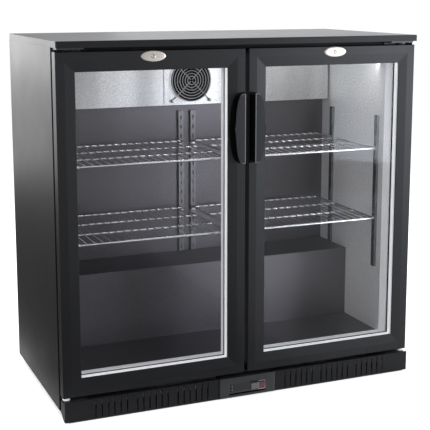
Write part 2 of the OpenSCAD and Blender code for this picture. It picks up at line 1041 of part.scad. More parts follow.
// The sloping window cut: wide at the front, narrow at the glass
module window_cut() {
    front = door_y - 1;
    glass = door_y + bevel_d;
    wide = stile_w - (stile_w - band_w) * (glass - front) / bevel_d;
    intersection() {
        translate([0, 0, door_bottom])
            linear_extrude(door_h)
                polygon([
                    [-door_out + wide, front], [-door_in - wide, front],
                    [-door_in - stile_w, glass], [-door_out + stile_w, glass]
                ]);
        across([-door_out, -door_in], [
            [front, door_bottom + wide], [glass, door_bottom + stile_w],
            [glass, door_top - stile_w], [front, door_top - wide]
        ]);
    }
}

module door_frame() {
    color([0.17, 0.17, 0.18])
        place() {
            difference() {
                door_slab(0, [door_y, retainer_y]);
                window_cut();
                door_slab(stile_w, [door_y, retainer_y + 1]);
                door_slab(pane_inset - 0.5, [outer_pane_y, retainer_y + 1]);
                bar_z(-hinge_x, hinge_y, [door_top - bush_len - 1, door_top + 1], bush_r);
                bar_z(-hinge_x, hinge_y, [door_bottom - 1, door_bottom + bush_len + 1], bush_r);
                bar_y(-lock_x, lock_z, barrel_r + running_gap, [door_y - 1, retainer_y + 1]);
            }
            difference() {
                door_ring(3, stile_w - 1.5, [retainer_y, door_y + door_t]);
                bar_y(-lock_x, lock_z, barrel_r + running_gap, [retainer_y - 1, cam_y + 1]);
            }
        }
}

module door_glass() {
    color([0.8, 0.9, 0.9, 0.3])
        place() {
            door_slab(pane_inset, [outer_pane_y, outer_pane_y + pane_t]);
            door_slab(pane_inset, [inner_pane_y, inner_pane_y + pane_t]);
        }
}

module glazing_spacer() {
    color([0.85, 0.85, 0.86])
        place()
            door_ring(stile_w - 8, stile_w, [outer_pane_y + pane_t, inner_pane_y]);
}

module door_gasket() {
    color([0.06, 0.06, 0.06])
        place()
            door_ring(gasket_front, gasket_back, [door_y + door_t, lip_reach - gasket_gap]);
}

// Half an ellipse with its straight side on x = 0, bulging towards -x
function half_oval(w, h, steps = 24) = [
    for (i = [0:steps])
        [-w * sin(180 * i / steps), h / 2 * cos(180 * i / steps)]
];

module door_handle() {
    front = -handle_reach;
    color([0.17, 0.17, 0.18])
        place()
            translate([0, 0, handle_z])
                union() {
                    translate([-plate_in, 0, 0])
                        deep([front, front + plate_t], half_oval(plate_w, handle_h));
                    translate([-base_in, 0, 0])
                        deep([door_y - 2, door_y], half_oval(base_w, handle_h + 4));
                    translate([0, 0, -handle_h / 2 + 8])
                        linear_extrude(handle_h - 16)
                            polygon([
                                [-base_in, door_y - 2], [-base_in - 3.5, door_y - 2],
                                [-plate_in - 3.5, front + 1], [-plate_in, front + 1]
                            ]);
                }
}

module lock_escutcheon() {
    color([0.8, 0.76, 0.68])
        place()
            difference() {
                translate([-lock_x, 0, lock_z])
                    deep([door_y - 2.5, door_y],
                        [for (i = [0:47]) [29 * cos(i * 7.5), 12 * sin(i * 7.5)]]);
                bar_y(-lock_x, lock_z, barrel_r + running_gap, [door_y - 4, door_y + 1]);
            }
}

module door_bushes() {
    color([0.93, 0.93, 0.92])
        place()
            difference() {
                union() {
                    bar_z(-hinge_x, hinge_y, [door_top - bush_len, door_top], bush_r);
                    bar_z(-hinge_x, hinge_y, [door_top, worktop_z - bracket_t - 0.5],
                        bush_flange_r);
                    bar_z(-hinge_x, hinge_y, [door_bottom, door_bottom + bush_len], bush_r);
                    bar_z(-hinge_x, hinge_y,
                        [low_bracket_z + low_bracket_t + 0.5, door_bottom], bush_flange_r);
                }
                bar_z(-hinge_x, hinge_y, [low_bracket_z, worktop_z], pin_r + running_gap);
            }
}

module lock_cylinder() {
    color([0.75, 0.75, 0.76])
        place()
            difference() {
                union() {
                    bar_y(-lock_x, lock_z, barrel_r, [door_y - 4, door_y + door_t - 2]);
                    bar_y(-lock_x, lock_z, cam_half, [door_y + door_t - 3, cam_y + cam_t]);
                    box([-lock_x - cam_half, -lock_x + cam_reach], [cam_y, cam_y + cam_t],
                        [lock_z - cam_half, lock_z + cam_half]);
                }
                box([-lock_x - 0.7, -lock_x + 0.7], [door_y - 5, door_y + 2],
                    [lock_z - 4, lock_z + 4]);
            }
}

module mirrored() {
    mirror([1, 0, 0])
        children();
}

module left_door_frame() { door_frame(); }
module left_door_glass() { door_glass(); }
module left_glazing_spacer() { glazing_spacer(); }
module left_door_gasket() { door_gasket(); }
module left_door_handle() { door_handle(); }
module left_lock_escutcheon() { lock_escutcheon(); }
module left_door_bushes() { door_bushes(); }
module left_lock_cylinder() { lock_cylinder(); }
module right_door_frame() { mirrored() door_frame(); }
module right_door_glass() { mirrored() door_glass(); }
module right_glazing_spacer() { mirrored() glazing_spacer(); }
module right_door_gasket() { mirrored() door_gasket(); }
module right_door_handle() { mirrored() door_handle(); }
module right_lock_escutcheon() { mirrored() lock_escutcheon(); }
module right_door_bushes() { mirrored() door_bushes(); }
module right_lock_cylinder() { mirrored() lock_cylinder(); }

left_side_panel();
right_side_panel();
back_panel();
worktop();
front_rails();
base_pan();
machine_bay_panel();
foam_insulation();
liner_side_walls();
liner_back_and_ceiling();
liner_floor();
breaker_frame();
centre_mullion();
shelf_pilasters();
shelf_clips();
upper_left_shelf();
upper_right_shelf();
lower_left_shelf();
lower_right_shelf();
evaporator_cover();
evaporator_coil();
evaporator_fan_frame();
evaporator_fan_guard();
cabinet_lamp();
compressor();
condenser_coil();
condenser_fan_motor();
refrigerant_pipes();
condensate_drain();
rear_grille();
rear_spacers();
cable_gland();
kick_plate();
controller_housing();
leveling_feet();
hinge_brackets();
hinge_pins();
case_screws();
evaporator_fan_blade();
condenser_fan_blade();
power_rocker();
lamp_rocker();
up_button();
down_button();
left_door_frame();
left_door_glass();
left_glazing_spacer();
left_door_gasket();
left_door_handle();
left_lock_escutcheon();
left_door_bushes();
left_lock_cylinder();
right_door_frame();
right_door_glass();
right_glazing_spacer();
right_door_gasket();
right_door_handle();
right_lock_escutcheon();
right_door_bushes();
right_lock_cylinder();
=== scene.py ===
"""Looks for the two-door undercounter refrigerator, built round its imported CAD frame."""

import math

import bmesh
import bpy
from mathutils import Matrix, Vector


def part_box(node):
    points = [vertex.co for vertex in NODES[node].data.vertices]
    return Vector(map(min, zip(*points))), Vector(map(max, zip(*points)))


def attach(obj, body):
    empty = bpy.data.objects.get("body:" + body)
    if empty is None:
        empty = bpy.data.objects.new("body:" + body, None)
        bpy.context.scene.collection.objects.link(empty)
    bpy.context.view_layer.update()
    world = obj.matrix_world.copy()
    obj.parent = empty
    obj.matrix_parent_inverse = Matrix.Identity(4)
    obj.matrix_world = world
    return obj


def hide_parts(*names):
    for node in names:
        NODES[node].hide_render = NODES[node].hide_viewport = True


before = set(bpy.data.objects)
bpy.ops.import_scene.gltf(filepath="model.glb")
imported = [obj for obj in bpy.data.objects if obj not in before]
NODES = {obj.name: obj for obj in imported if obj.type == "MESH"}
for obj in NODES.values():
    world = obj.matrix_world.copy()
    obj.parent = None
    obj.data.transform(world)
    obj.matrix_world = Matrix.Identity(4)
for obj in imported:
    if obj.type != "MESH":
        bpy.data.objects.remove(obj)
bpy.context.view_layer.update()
MM = 0.001
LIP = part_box("worktop")[0].y
SCENE = bpy.context.scene
# Where the painted light on the front strip of the interior floor fades out, back from the lip.
SILL = (89.5, 92.0)
# Radius of a shelf's frame rod.
ROD = 3.0


def P(x, y, z):
    """A point in millimetres: x from the middle, y back from the worktop's lip, z up from the floor."""
    return Vector((x * MM, LIP + y * MM, z * MM))


def span(node, axis):
    """The node's low and high ends along an axis, in the same millimetres as P."""
    low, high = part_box(node)
    shift = LIP if axis == 1 else 0.0
    return (low[axis] - shift) / MM, (high[axis] - shift) / MM


def spans(node):
    """The node's low and high ends along x, y and z."""
    return [span(node, axis) for axis in range(3)]


def circle(steps):
    """Angles of one full turn."""
    return [2 * math.pi * k / steps for k in range(steps)]


def put(node, socket, value):
    """Sets the value of a node's input."""
    node.inputs[socket].default_value = value


def outward(bm, faces):
    """Makes the faces look away from the inside of their solid."""
    bmesh.ops.recalc_face_normals(bm, faces=faces)


# ---------------------------------------------------------------- materials


def node_tree(name):
    """A new material with its nodes, links and main shader."""
    mat = bpy.data.materials.new(name)
    mat.use_nodes = True
    nodes = mat.node_tree.nodes
    return mat, nodes, mat.node_tree.links, nodes["Principled BSDF"]


def add_noise(nodes, links, coords, scale, detail=3.0, rough=0.55, stretch=None):
    """Noise fixed to the object, drawn out along an axis where stretch is given."""
    noise = nodes.new("ShaderNodeTexNoise")
    put(noise, "Scale", scale)
    put(noise, "Detail", detail)
    put(noise, "Roughness", rough)
    source = coords.outputs["Object"]
    if stretch:
        mapping = nodes.new("ShaderNodeMapping")
        put(mapping, "Scale", stretch)
        links.new(source, mapping.inputs["Vector"])
        source = mapping.outputs["Vector"]
    links.new(source, noise.inputs["Vector"])
    return noise


def ramp_between(nodes, links, fac, low, high, a=0.3, b=0.7):
    """Colour that runs from low to high as the factor goes from a to b."""
    ramp = nodes.new("ShaderNodeValToRGB")
    ramp.color_ramp.elements[0].position = a
    ramp.color_ramp.elements[1].position = b
    ramp.color_ramp.elements[0].color = (*low, 1)
    ramp.color_ramp.elements[1].color = (*high, 1)
    links.new(fac, ramp.inputs["Fac"])
    return ramp


def value_between(nodes, links, fac, low, high, a=0.3, b=0.7):
    """Number that runs from low to high as the factor goes from a to b."""
    rng = nodes.new("ShaderNodeMapRange")
    put(rng, "From Min", a)
    put(rng, "From Max", b)
    put(rng, "To Min", low)
    put(rng, "To Max", high)
    links.new(fac, rng.inputs["Value"])
    return rng


def surface(name, colour, rough, metal=0.0, tint=0.12, tint_scale=9.0, rough_var=0.06, grain=900.0,
            bump=0.1, depth=0.0002, stretch=None, spec=0.5, coat=0.0, painted_glow=0.0):
    """Colour that drifts a little, roughness that drifts with it, and a fine grain in relief. A glow,
    where given, is painted light.
    """
    mat, nodes, links, bsdf = node_tree(name)
    coords = nodes.new("ShaderNodeTexCoord")
    drift = add_noise(nodes, links, coords, tint_scale, 4.0, 0.6, stretch)
    low = [c * (1 - tint) for c in colour]
    high = [min(1.0, c * (1 + tint)) for c in colour]
    links.new(ramp_between(nodes, links, drift.outputs["Fac"], low, high).outputs["Color"],
              bsdf.inputs["Base Color"])
    links.new(value_between(nodes, links, drift.outputs["Fac"], rough - rough_var, rough + rough_var)
              .outputs["Result"], bsdf.inputs["Roughness"])
    fine = add_noise(nodes, links, coords, grain, 2.0, 0.5, stretch)
    relief = nodes.new("ShaderNodeBump")
    put(relief, "Strength", bump)
    put(relief, "Distance", depth)
    links.new(fine.outputs["Fac"], relief.inputs["Height"])
    links.new(relief.outputs["Normal"], bsdf.inputs["Normal"])
    put(bsdf, "Metallic", metal)
    put(bsdf, "Specular IOR Level", spec)
    put(bsdf, "Coat Weight", coat)
    put(bsdf, "Coat Roughness", 0.1)
    # Glow on a part that is no lamp: painted light.
    if painted_glow:
        put(bsdf, "Emission Color", (0.85, 0.86, 0.88, 1))
        put(bsdf, "Emission Strength", painted_glow)
    return mat


def painted_reflection_clouds(nodes, links, coords, bsdf, paint):
    """Darkens the sheet in soft upright clouds: painted dull reflections."""
    cloud = add_noise(nodes, links, coords, 5.0, 2.0, 0.4, stretch=(1.6, 1, 0.12))
    tone = ramp_between(nodes, links, cloud.outputs["Fac"], (0.5,) * 3, (1, 1, 1), 0.38, 0.62)
    blend = nodes.new("ShaderNodeMixRGB")
    blend.blend_type = "MULTIPLY"
    put(blend, "Fac", 1.0)
    links.new(paint, blend.inputs["Color1"])
    links.new(tone.outputs["Color"], blend.inputs["Color2"])
    return blend.outputs["Color"]


def paint_sill_glow(nodes, links, coords, bsdf, paint):
    """Painted light: leaves the front strip of the floor pale and glowing, in front of the shelves'
    shade.
    """
    place = nodes.new("ShaderNodeSeparateXYZ")
    links.new(coords.outputs["Object"], place.inputs["Vector"])
    starts, ends = P(0, SILL[0], 0).y, P(0, SILL[1], 0).y
    edge = value_between(nodes, links, place.outputs["Y"], 0.0, 1.0, starts, ends).outputs["Result"]
    # Glow on the strip: painted light.
    painted_glow = value_between(nodes, links, edge, 0.34, 0.0, 0.0, 1.0)
    links.new(painted_glow.outputs["Result"], bsdf.inputs["Emission Strength"])
    put(bsdf, "Emission Color", (0.8, 0.8, 0.83, 1))
    blend = nodes.new("ShaderNodeMixRGB")
    links.new(edge, blend.inputs["Fac"])
    put(blend, "Color1", (0.8, 0.8, 0.82, 1))
    links.new(paint, blend.inputs["Color2"])
    return blend.outputs["Color"]


def stucco(name, colour, rough, bump=0.12, cell=300.0, tint=0.12, metal=1.0, paint_light_or_shade=None):
    """Embossed sheet: small pebbles pressed into metal. The last argument paints light or shade over its
    plain colour.
    """
    mat, nodes, links, bsdf = node_tree(name)
    coords = nodes.new("ShaderNodeTexCoord")
    cells = nodes.new("ShaderNodeTexVoronoi")
    cells.feature = "SMOOTH_F1"
    put(cells, "Scale", cell)
    put(cells, "Smoothness", 0.6)
    warp = add_noise(nodes, links, coords, cell * 0.6, 2.0)
    links.new(coords.outputs["Object"], cells.inputs["Vector"])
    mix = nodes.new("ShaderNodeMath")
    mix.operation = "MULTIPLY_ADD"
    put(mix, 1, 0.6)
    links.new(warp.outputs["Fac"], mix.inputs[0])
    links.new(cells.outputs["Distance"], mix.inputs[2])
    relief = nodes.new("ShaderNodeBump")
    put(relief, "Strength", bump)
    put(relief, "Distance", 0.0005)
    links.new(mix.outputs["Value"], relief.inputs["Height"])
    links.new(relief.outputs["Normal"], bsdf.inputs["Normal"])
    speck = add_noise(nodes, links, coords, cell * 1.1, 3.0, 0.6)
    low = [c * (1 - tint) for c in colour]
    high = [min(1.0, c * (1 + tint)) for c in colour]
    paint = ramp_between(nodes, links, speck.outputs["Fac"], low, high, 0.35, 0.65).outputs["Color"]
    # Painted light and shade laid over the plain colour.
    if paint_light_or_shade:
        paint = paint_light_or_shade(nodes, links, coords, bsdf, paint)
    links.new(paint, bsdf.inputs["Base Color"])
    links.new(value_between(nodes, links, speck.outputs["Fac"], rough - 0.07, rough + 0.07)
              .outputs["Result"], bsdf.inputs["Roughness"])
    put(bsdf, "Metallic", metal)
    return mat


def clear_glass(name):
    """A pane that mirrors more at a glancing view and otherwise lets light through."""
    mat, nodes, links, bsdf = node_tree(name)
    coords = nodes.new("ShaderNodeTexCoord")
    haze = add_noise(nodes, links, coords, 14.0, 3.0)
    links.new(value_between(nodes, links, haze.outputs["Fac"], 0.015, 0.05).outputs["Result"],
              bsdf.inputs["Roughness"])
    links.new(ramp_between(nodes, links, haze.outputs["Fac"], (0.86, 0.91, 0.92), (0.92, 0.96, 0.97))
              .outputs["Color"], bsdf.inputs["Base Color"])
    fresnel = nodes.new("ShaderNodeFresnel")
    put(fresnel, "IOR", 1.12)
    links.new(fresnel.outputs["Fac"], bsdf.inputs["Alpha"])
    put(bsdf, "Metallic", 1.0)
    return mat


def spacer_metal(name):
    """Spacer bar of the glazing: pale metal with a row of fine holes, glowing a little as painted light.
    """
    mat, nodes, links, bsdf = node_tree(name)
    coords = nodes.new("ShaderNodeTexCoord")
    dots = nodes.new("ShaderNodeTexVoronoi")
    put(dots, "Scale", 320.0)
    put(dots, "Randomness", 0.1)
    links.new(coords.outputs["Object"], dots.inputs["Vector"])
    ramp = ramp_between(nodes, links, dots.outputs["Distance"], (0.45, 0.45, 0.46),
                        (0.93, 0.935, 0.94), 0.08, 0.2)
    links.new(ramp.outputs["Color"], bsdf.inputs["Base Color"])
    # The spacer glows: painted light.
    links.new(ramp.outputs["Color"], bsdf.inputs["Emission Color"])
    put(bsdf, "Emission Strength", 0.28)
    put(bsdf, "Roughness", 0.4)
    put(bsdf, "Metallic", 0.1)
    return mat


def glow(name, colour, strength):
    """Lamp cover that gives light, a little uneven."""
    mat, nodes, links, bsdf = node_tree(name)
    coords = nodes.new("ShaderNodeTexCoord")
    drift = add_noise(nodes, links, coords, 60.0)
    ramp = ramp_between(nodes, links, drift.outputs["Fac"], [c * 0.9 for c in colour], colour)
    links.new(ramp.outputs["Color"], bsdf.inputs["Base Color"])
    links.new(ramp.outputs["Color"], bsdf.inputs["Emission Color"])
    put(bsdf, "Emission Strength", strength)
    put(bsdf, "Roughness", 0.4)
    return mat


M = {
    "case": surface("case_black", (0.006, 0.006, 0.0065), 0.4, tint=0.1, grain=1100, bump=0.12,
                    depth=0.00015, rough_var=0.02, spec=0.2),
    "worktop": surface("worktop_black", (0.014, 0.014, 0.015), 0.36, tint=0.1, grain=1100,
                       bump=0.12, depth=0.00015, rough_var=0.02),
    "door": surface("door_black", (0.0065, 0.0066, 0.0074), 0.38, tint=0.08, grain=1500,
                    bump=0.08, depth=0.0001, stretch=(1, 1, 0.15), rough_var=0.02, spec=0.26),
    # Paler colour on the handle's bevelled edges: painted highlight.
    "edge": surface("handle_edge_painted_highlight", (0.12, 0.122, 0.13), 0.3, tint=0.08, grain=900),
    "rail": surface("rail_black", (0.004, 0.004, 0.004), 0.5, spec=0.2),
    "kick": surface("kick_black", (0.0062, 0.0062, 0.0067), 0.4, grain=900, bump=0.025,
                    rough_var=0.02, spec=0.2),
    "galvanised": surface("galvanised", (0.45, 0.46, 0.47), 0.42, 1.0, tint=0.25, tint_scale=60,
                          grain=300, bump=0.1),
    "foam": surface("foam", (0.78, 0.66, 0.36), 0.85, tint=0.15, tint_scale=40, grain=260,
                    bump=0.5, depth=0.0008),
    # The liner's embossed aluminium, the same metal as the evaporator cover, comes in copies: darker on
    # the back, ceiling and floor (painted shade), paler on the side walls (painted light).
    "liner": stucco("liner_aluminium", (0.135, 0.128, 0.137), 0.4),
    "liner_floor": stucco("liner_floor_aluminium_painted_shade_and_sill_glow", (0.135, 0.128, 0.137), 0.4, paint_light_or_shade=paint_sill_glow),
    "liner_side": stucco("liner_side_aluminium_painted_light", (0.93, 0.93, 0.94), 0.42, metal=0.5),
    # The evaporator cover carries painted reflections: dark upright clouds.
    "evap": stucco("evaporator_aluminium_painted_reflections", (0.76, 0.77, 0.785), 0.47, bump=0.2, cell=420.0,
                   tint=0.4, paint_light_or_shade=painted_reflection_clouds),
    # The pale trim glows a little: painted light.
    "trim": surface("trim_grey", (0.86, 0.865, 0.88), 0.42, tint=0.04, grain=500, painted_glow=0.14),
    "zinc": surface("zinc", (0.62, 0.63, 0.65), 0.34, 1.0, tint=0.15, tint_scale=80, grain=500),
    "channel": surface("slotted_channel", (0.19, 0.19, 0.195), 0.4, 1.0, tint=0.15, tint_scale=80,
                       grain=500),
    "wire": surface("plated_wire", (0.82, 0.83, 0.85), 0.16, 1.0, tint=0.08, tint_scale=120,
                    rough_var=0.05, grain=900, bump=0.05),
    "fins": surface("fins", (0.74, 0.76, 0.78), 0.4, 1.0, grain=900),
    "plastic": surface("black_plastic", (0.018, 0.018, 0.019), 0.42, tint=0.1, grain=650, bump=0.2),
    "gloss": surface("gloss_black", (0.005, 0.005, 0.005), 0.16, tint=0.2, grain=200, bump=0.02),
    # Near-black for black plastic and for recesses, slots and gaps: partly the parts' own black, partly
    # painted shade.
    "pit": surface("black_plastic_and_painted_shade", (0.0015, 0.0015, 0.0015), 0.55, tint=0.2, spec=0.06),
    "steel": surface("black_steel", (0.02, 0.02, 0.021), 0.4, tint=0.15, grain=800, bump=0.12),
    "guard": surface("guard_wire", (0.34, 0.34, 0.345), 0.35, 0.3, tint=0.15, grain=900),
    "copper": surface("copper", (0.72, 0.36, 0.2), 0.28, 1.0, tint=0.2, tint_scale=50),
    "rubber": surface("rubber", (0.014, 0.014, 0.014), 0.7, tint=0.2, grain=600, bump=0.25,
                      spec=0.3),
    "red": surface("red_key", (0.085, 0.014, 0.016), 0.3, tint=0.15, tint_scale=90, coat=0.3),
    "grey": surface("grey_key", (0.07, 0.07, 0.075), 0.32, tint=0.12, tint_scale=90),
    "panel": surface("controller_grey", (0.014, 0.0145, 0.0155), 0.36, tint=0.1, grain=700,
                     bump=0.15),
    # Paler colour for the strip at the controller face's right end: painted highlight.
    "edge_glint": surface("controller_edge_painted_highlight", (0.16, 0.165, 0.17), 0.35, tint=0.08, grain=500),
    "rim": surface("rocker_rim", (0.34, 0.33, 0.32), 0.4, tint=0.05, grain=500),
    "lock": surface("lock_champagne", (0.52, 0.48, 0.42), 0.32, 0.85, tint=0.08, tint_scale=40,
                    grain=600, stretch=(0.12, 1, 1)),
    "bright": surface("bright_metal", (0.8, 0.8, 0.8), 0.2, 1.0, tint=0.08, grain=900),
    "bush": surface("bush_white", (0.85, 0.85, 0.83), 0.45, tint=0.04, grain=500),
    "glass": clear_glass("door_glass"),
    "spacer": spacer_metal("glazing_spacer"),
    "lens": glow("lamp_lens", (1.0, 0.98, 0.95), 3.0),
    "lampcase": surface("lamp_case", (0.8, 0.81, 0.81), 0.4, tint=0.04, grain=500),
}

CAD_LOOKS = {
    "left_side_panel": "case", "right_side_panel": "case", "back_panel": "case",
    "front_rails": "rail", "base_pan": "rail", "machine_bay_panel": "galvanised",
    "foam_insulation": "foam", "liner_side_walls": "liner_side", "liner_back_and_ceiling": "liner",
    "liner_floor": "liner_floor", "shelf_pilasters": "channel", "evaporator_coil": "fins",
    "condenser_coil": "steel", "refrigerant_pipes": "copper", "condensate_drain": "plastic",
    "hinge_pins": "bright", "left_door_glass": "glass", "right_door_glass": "glass",
    "left_glazing_spacer": "spacer", "right_glazing_spacer": "spacer", "compressor": "steel",
    "condenser_fan_motor": "steel", "rear_grille": "steel", "breaker_frame": "trim",
    "centre_mullion": "trim", "kick_plate": "kick", "hinge_brackets": "steel",
    "evaporator_cover": "evap", "evaporator_fan_frame": "pit", "cable_gland": "plastic",
}
for node_name, look in CAD_LOOKS.items():
    NODES[node_name].data.materials.clear()
    NODES[node_name].data.materials.append(M[look])


# ---------------------------------------------------------------- mesh tools


def publish(name, bm, looks, body, replaces=(), mirror=False, angle=32, scale=True):
    """Turns millimetre geometry into a piece that rides on a body."""
    if mirror:
        bmesh.ops.scale(bm, vec=(-1, 1, 1), verts=bm.verts)
        bmesh.ops.reverse_faces(bm, faces=bm.faces)
    if scale:
        for v in bm.verts:
            v.co = P(*v.co)
    mesh = bpy.data.meshes.new(name)
    bm.to_mesh(mesh)
    bm.free()
    for look in [looks] if isinstance(looks, str) else looks:
        mesh.materials.append(M[look])
    mesh.shade_smooth()
    mesh.set_sharp_from_angle(angle=math.radians(angle))
    obj = bpy.data.objects.new(name, mesh)
    SCENE.collection.objects.link(obj)
    weighted = obj.modifiers.new("even_shading", "WEIGHTED_NORMAL")
    weighted.keep_sharp = True
    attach(obj, body)
    if replaces:
        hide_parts(*replaces)


def mark(faces, index):
    """Gives faces one of their piece's looks, by its place in the piece's list."""
    for f in faces:
        f.material_index = index
    return faces


def loft(bm, rings, caps=True, look=0):
    """Joins closed rings of the same number of points, each a list of (x, y, z)."""
    rows = [[bm.verts.new(p) for p in ring] for ring in rings]
    faces = []
    for a, b in zip(rows, rows[1:]):
        for i in range(len(a)):
            j = (i + 1) % len(a)
            faces.append(bm.faces.new((a[i], a[j], b[j], b[i])))
    if caps:
        faces.append(bm.faces.new(list(reversed(rows[0]))))
        faces.append(bm.faces.new(rows[-1]))
    return mark(faces, look)


def block(bm, x, y, z, r=0.5, seg=2, look=0):
    """Box between two corners with its edges rounded."""
    x, y, z = sorted(x), sorted(y), sorted(z)
    v = [bm.verts.new((a, b, c)) for a in x for b in y for c in z]
    quads = ((0, 1, 3, 2), (4, 6, 7, 5), (0, 4, 5, 1), (2, 3, 7, 6), (0, 2, 6, 4), (1, 5, 7, 3))
    faces = mark([bm.faces.new([v[i] for i in q]) for q in quads], look)
    if r:
        edges = list({e for f in faces for e in f.edges})
        bmesh.ops.bevel(bm, geom=edges, offset=r, segments=seg, profile=0.5,
                        affect="EDGES", clamp_overlap=True, material=-1)
    return faces


def lathe(bm, profile, centre, axis="y", sides=48, look=0):
    """Turns (radius, height) pairs about an axis through the centre. The ends close when r is 0."""
    cx, cy, cz = centre
    rows = []
    for r, h in profile:
        row = []
        for i in range(sides if r > 1e-6 else 1):
            a = 2 * math.pi * i / sides
            c, s = r * math.cos(a), r * math.sin(a)
            p = {"y": (cx + c, cy + h, cz + s), "z": (cx + s, cy + c, cz + h),
                 "x": (cx + h, cy + s, cz + c)}[axis]
            row.append(bm.verts.new(p))
        rows.append(row)
    faces = []
    for a, b in zip(rows, rows[1:]):
        for i in range(sides):
            j = (i + 1) % sides
            quad = [a[i % len(a)], b[i % len(b)], b[j % len(b)], a[j % len(a)]]
            quad = list(dict.fromkeys(quad))
            if len(quad) > 2:
                faces.append(bm.faces.new(quad))
    return mark(faces, look)


def round_corners(points, r, steps=5):
    """Replaces each inner corner of a path by an arc of radius about r."""
    pts = [Vector(p) for p in points]
    out = [pts[0]]
    for a, b, c in zip(pts, pts[1:], pts[2:]):
        u, w = (a - b).normalized(), (c - b).normalized()
        reach = min(r, (a - b).length * 0.45, (c - b).length * 0.45)
        p, q = b + u * reach, b + w * reach
        for i in range(steps + 1):
            t = i / steps
            out.append(p * (1 - t) ** 2 + b * 2 * t * (1 - t) + q * t * t)
    out.append(pts[-1])
    return out


def tube(bm, points, r, sides=10, closed=False, look=0):
    """Round wire or pipe along a path."""
    pts = [Vector(p) for p in points]
    n = len(pts)
    ring_rows = []
    normal = None
    for i, p in enumerate(pts):
        before = pts[i - 1] if i or closed else p
        after = pts[(i + 1) % n] if i < n - 1 or closed else p
        along = (after - before).normalized()
        if normal is None:
            seed = Vector((0, 0, 1)) if abs(along.z) < 0.9 else Vector((1, 0, 0))
            normal = along.cross(seed).normalized()
        else:
            normal = (normal - along * normal.dot(along)).normalized()
        other = along.cross(normal)
        ring_rows.append([
            p + (normal * math.cos(a) + other * math.sin(a)) * r
            for a in circle(sides)
        ])
    if closed:
        rows = [[bm.verts.new(q) for q in row] for row in ring_rows]
        faces = []
        for i in range(n):
            a, b = rows[i], rows[(i + 1) % n]
            for k in range(sides):
                m = (k + 1) % sides
                faces.append(bm.faces.new((a[k], a[m], b[m], b[k])))
        return mark(faces, look)
    return loft(bm, ring_rows, look=look)


def window_ring(bm, x, z, profile, gap=0.0):
    """Four mitred lengths round a rectangle; profile is (inward, depth) pairs in a loop."""
    def corner(u, right, top, dx, dz):
        return (x[1] - u - dx if right else x[0] + u + dx, z[1] - u - dz if top else z[0] + u + dz)

    for along_x, fixed in ((True, 0), (True, 1), (False, 0), (False, 1)):
        rings = []
        for end in (0, 1):
            ring = []
            for u, y in profile:
                if along_x:
                    px, pz = corner(u, end, fixed, gap, 0)
                else:
                    px, pz = corner(u, fixed, end, 0, gap)
                ring.append((px, y, pz))
            rings.append(ring)
        faces = loft(bm, rings)
        outward(bm, faces)


def soften(node, look, slot, width, vent_look=None):
    """A copy of a cabinet node with its sharp edges rounded; its vents may take their own look, a
    near-black painted shade.
    """
    bm = bmesh.new()
    bm.from_mesh(NODES[node].data)
    bmesh.ops.remove_doubles(bm, verts=bm.verts, dist=1e-6)
    bmesh.ops.dissolve_limit(bm, angle_limit=math.radians(1), verts=bm.verts, edges=bm.edges)
    sharp = [e for e in bm.edges if len(e.link_faces) == 2
             and e.calc_face_angle(0) > math.radians(35)]
    bmesh.ops.bevel(bm, geom=sharp, offset=width * MM, segments=2, profile=0.5,
                    affect="EDGES", clamp_overlap=True)
    mark(bm.faces, 0)
    looks = [look]
    if vent_look:
        looks.append(vent_look)
        rim = 2 * MM
        low = [min(v.co[i] for v in bm.verts) + rim for i in range(3)]
        high = [max(v.co[i] for v in bm.verts) - rim for i in range(3)]
        # Inner walls of the vents take the vent look: painted shade in the slots.
        for f in bm.faces:
            c = f.calc_center_median()
            if f.normal.y > -0.97 and low[0] < c.x < high[0] and low[2] < c.z < high[2]:
                f.material_index = 1
    publish(node + "_finished", bm, looks, "cabinet", (node,), scale=False)


# ---------------------------------------------------------------- cabinet outside

for item in (
    ("left_side_panel", "case", "case_black", 0.35),
    ("right_side_panel", "case", "case_black", 0.35),
    ("back_panel", "case", "case_black", 0.3),
    ("breaker_frame", "trim", "trim_grey", 0.8),
    ("centre_mullion", "trim", "trim_grey", 0.6),
    ("hinge_brackets", "steel", "black_steel", 0.7),
    ("rear_grille", "steel", "black_steel", 0.3),
    ("evaporator_cover", "evap", "liner_aluminium", 0.3),
    # The evaporator fan's frame is near-black: partly black plastic, partly painted shade.
    ("evaporator_fan_frame", "pit", "black_plastic", 0.8),
    ("shelf_pilasters", "channel", "zinc", 0.25),
    ("base_pan", "galvanised", "galvanised", 0.3),
    ("condenser_fan_motor", "steel", "black_steel", 0.6),
    ("kick_plate", "kick", "black_steel", 0.3, "pit"),
):
    soften(*item)


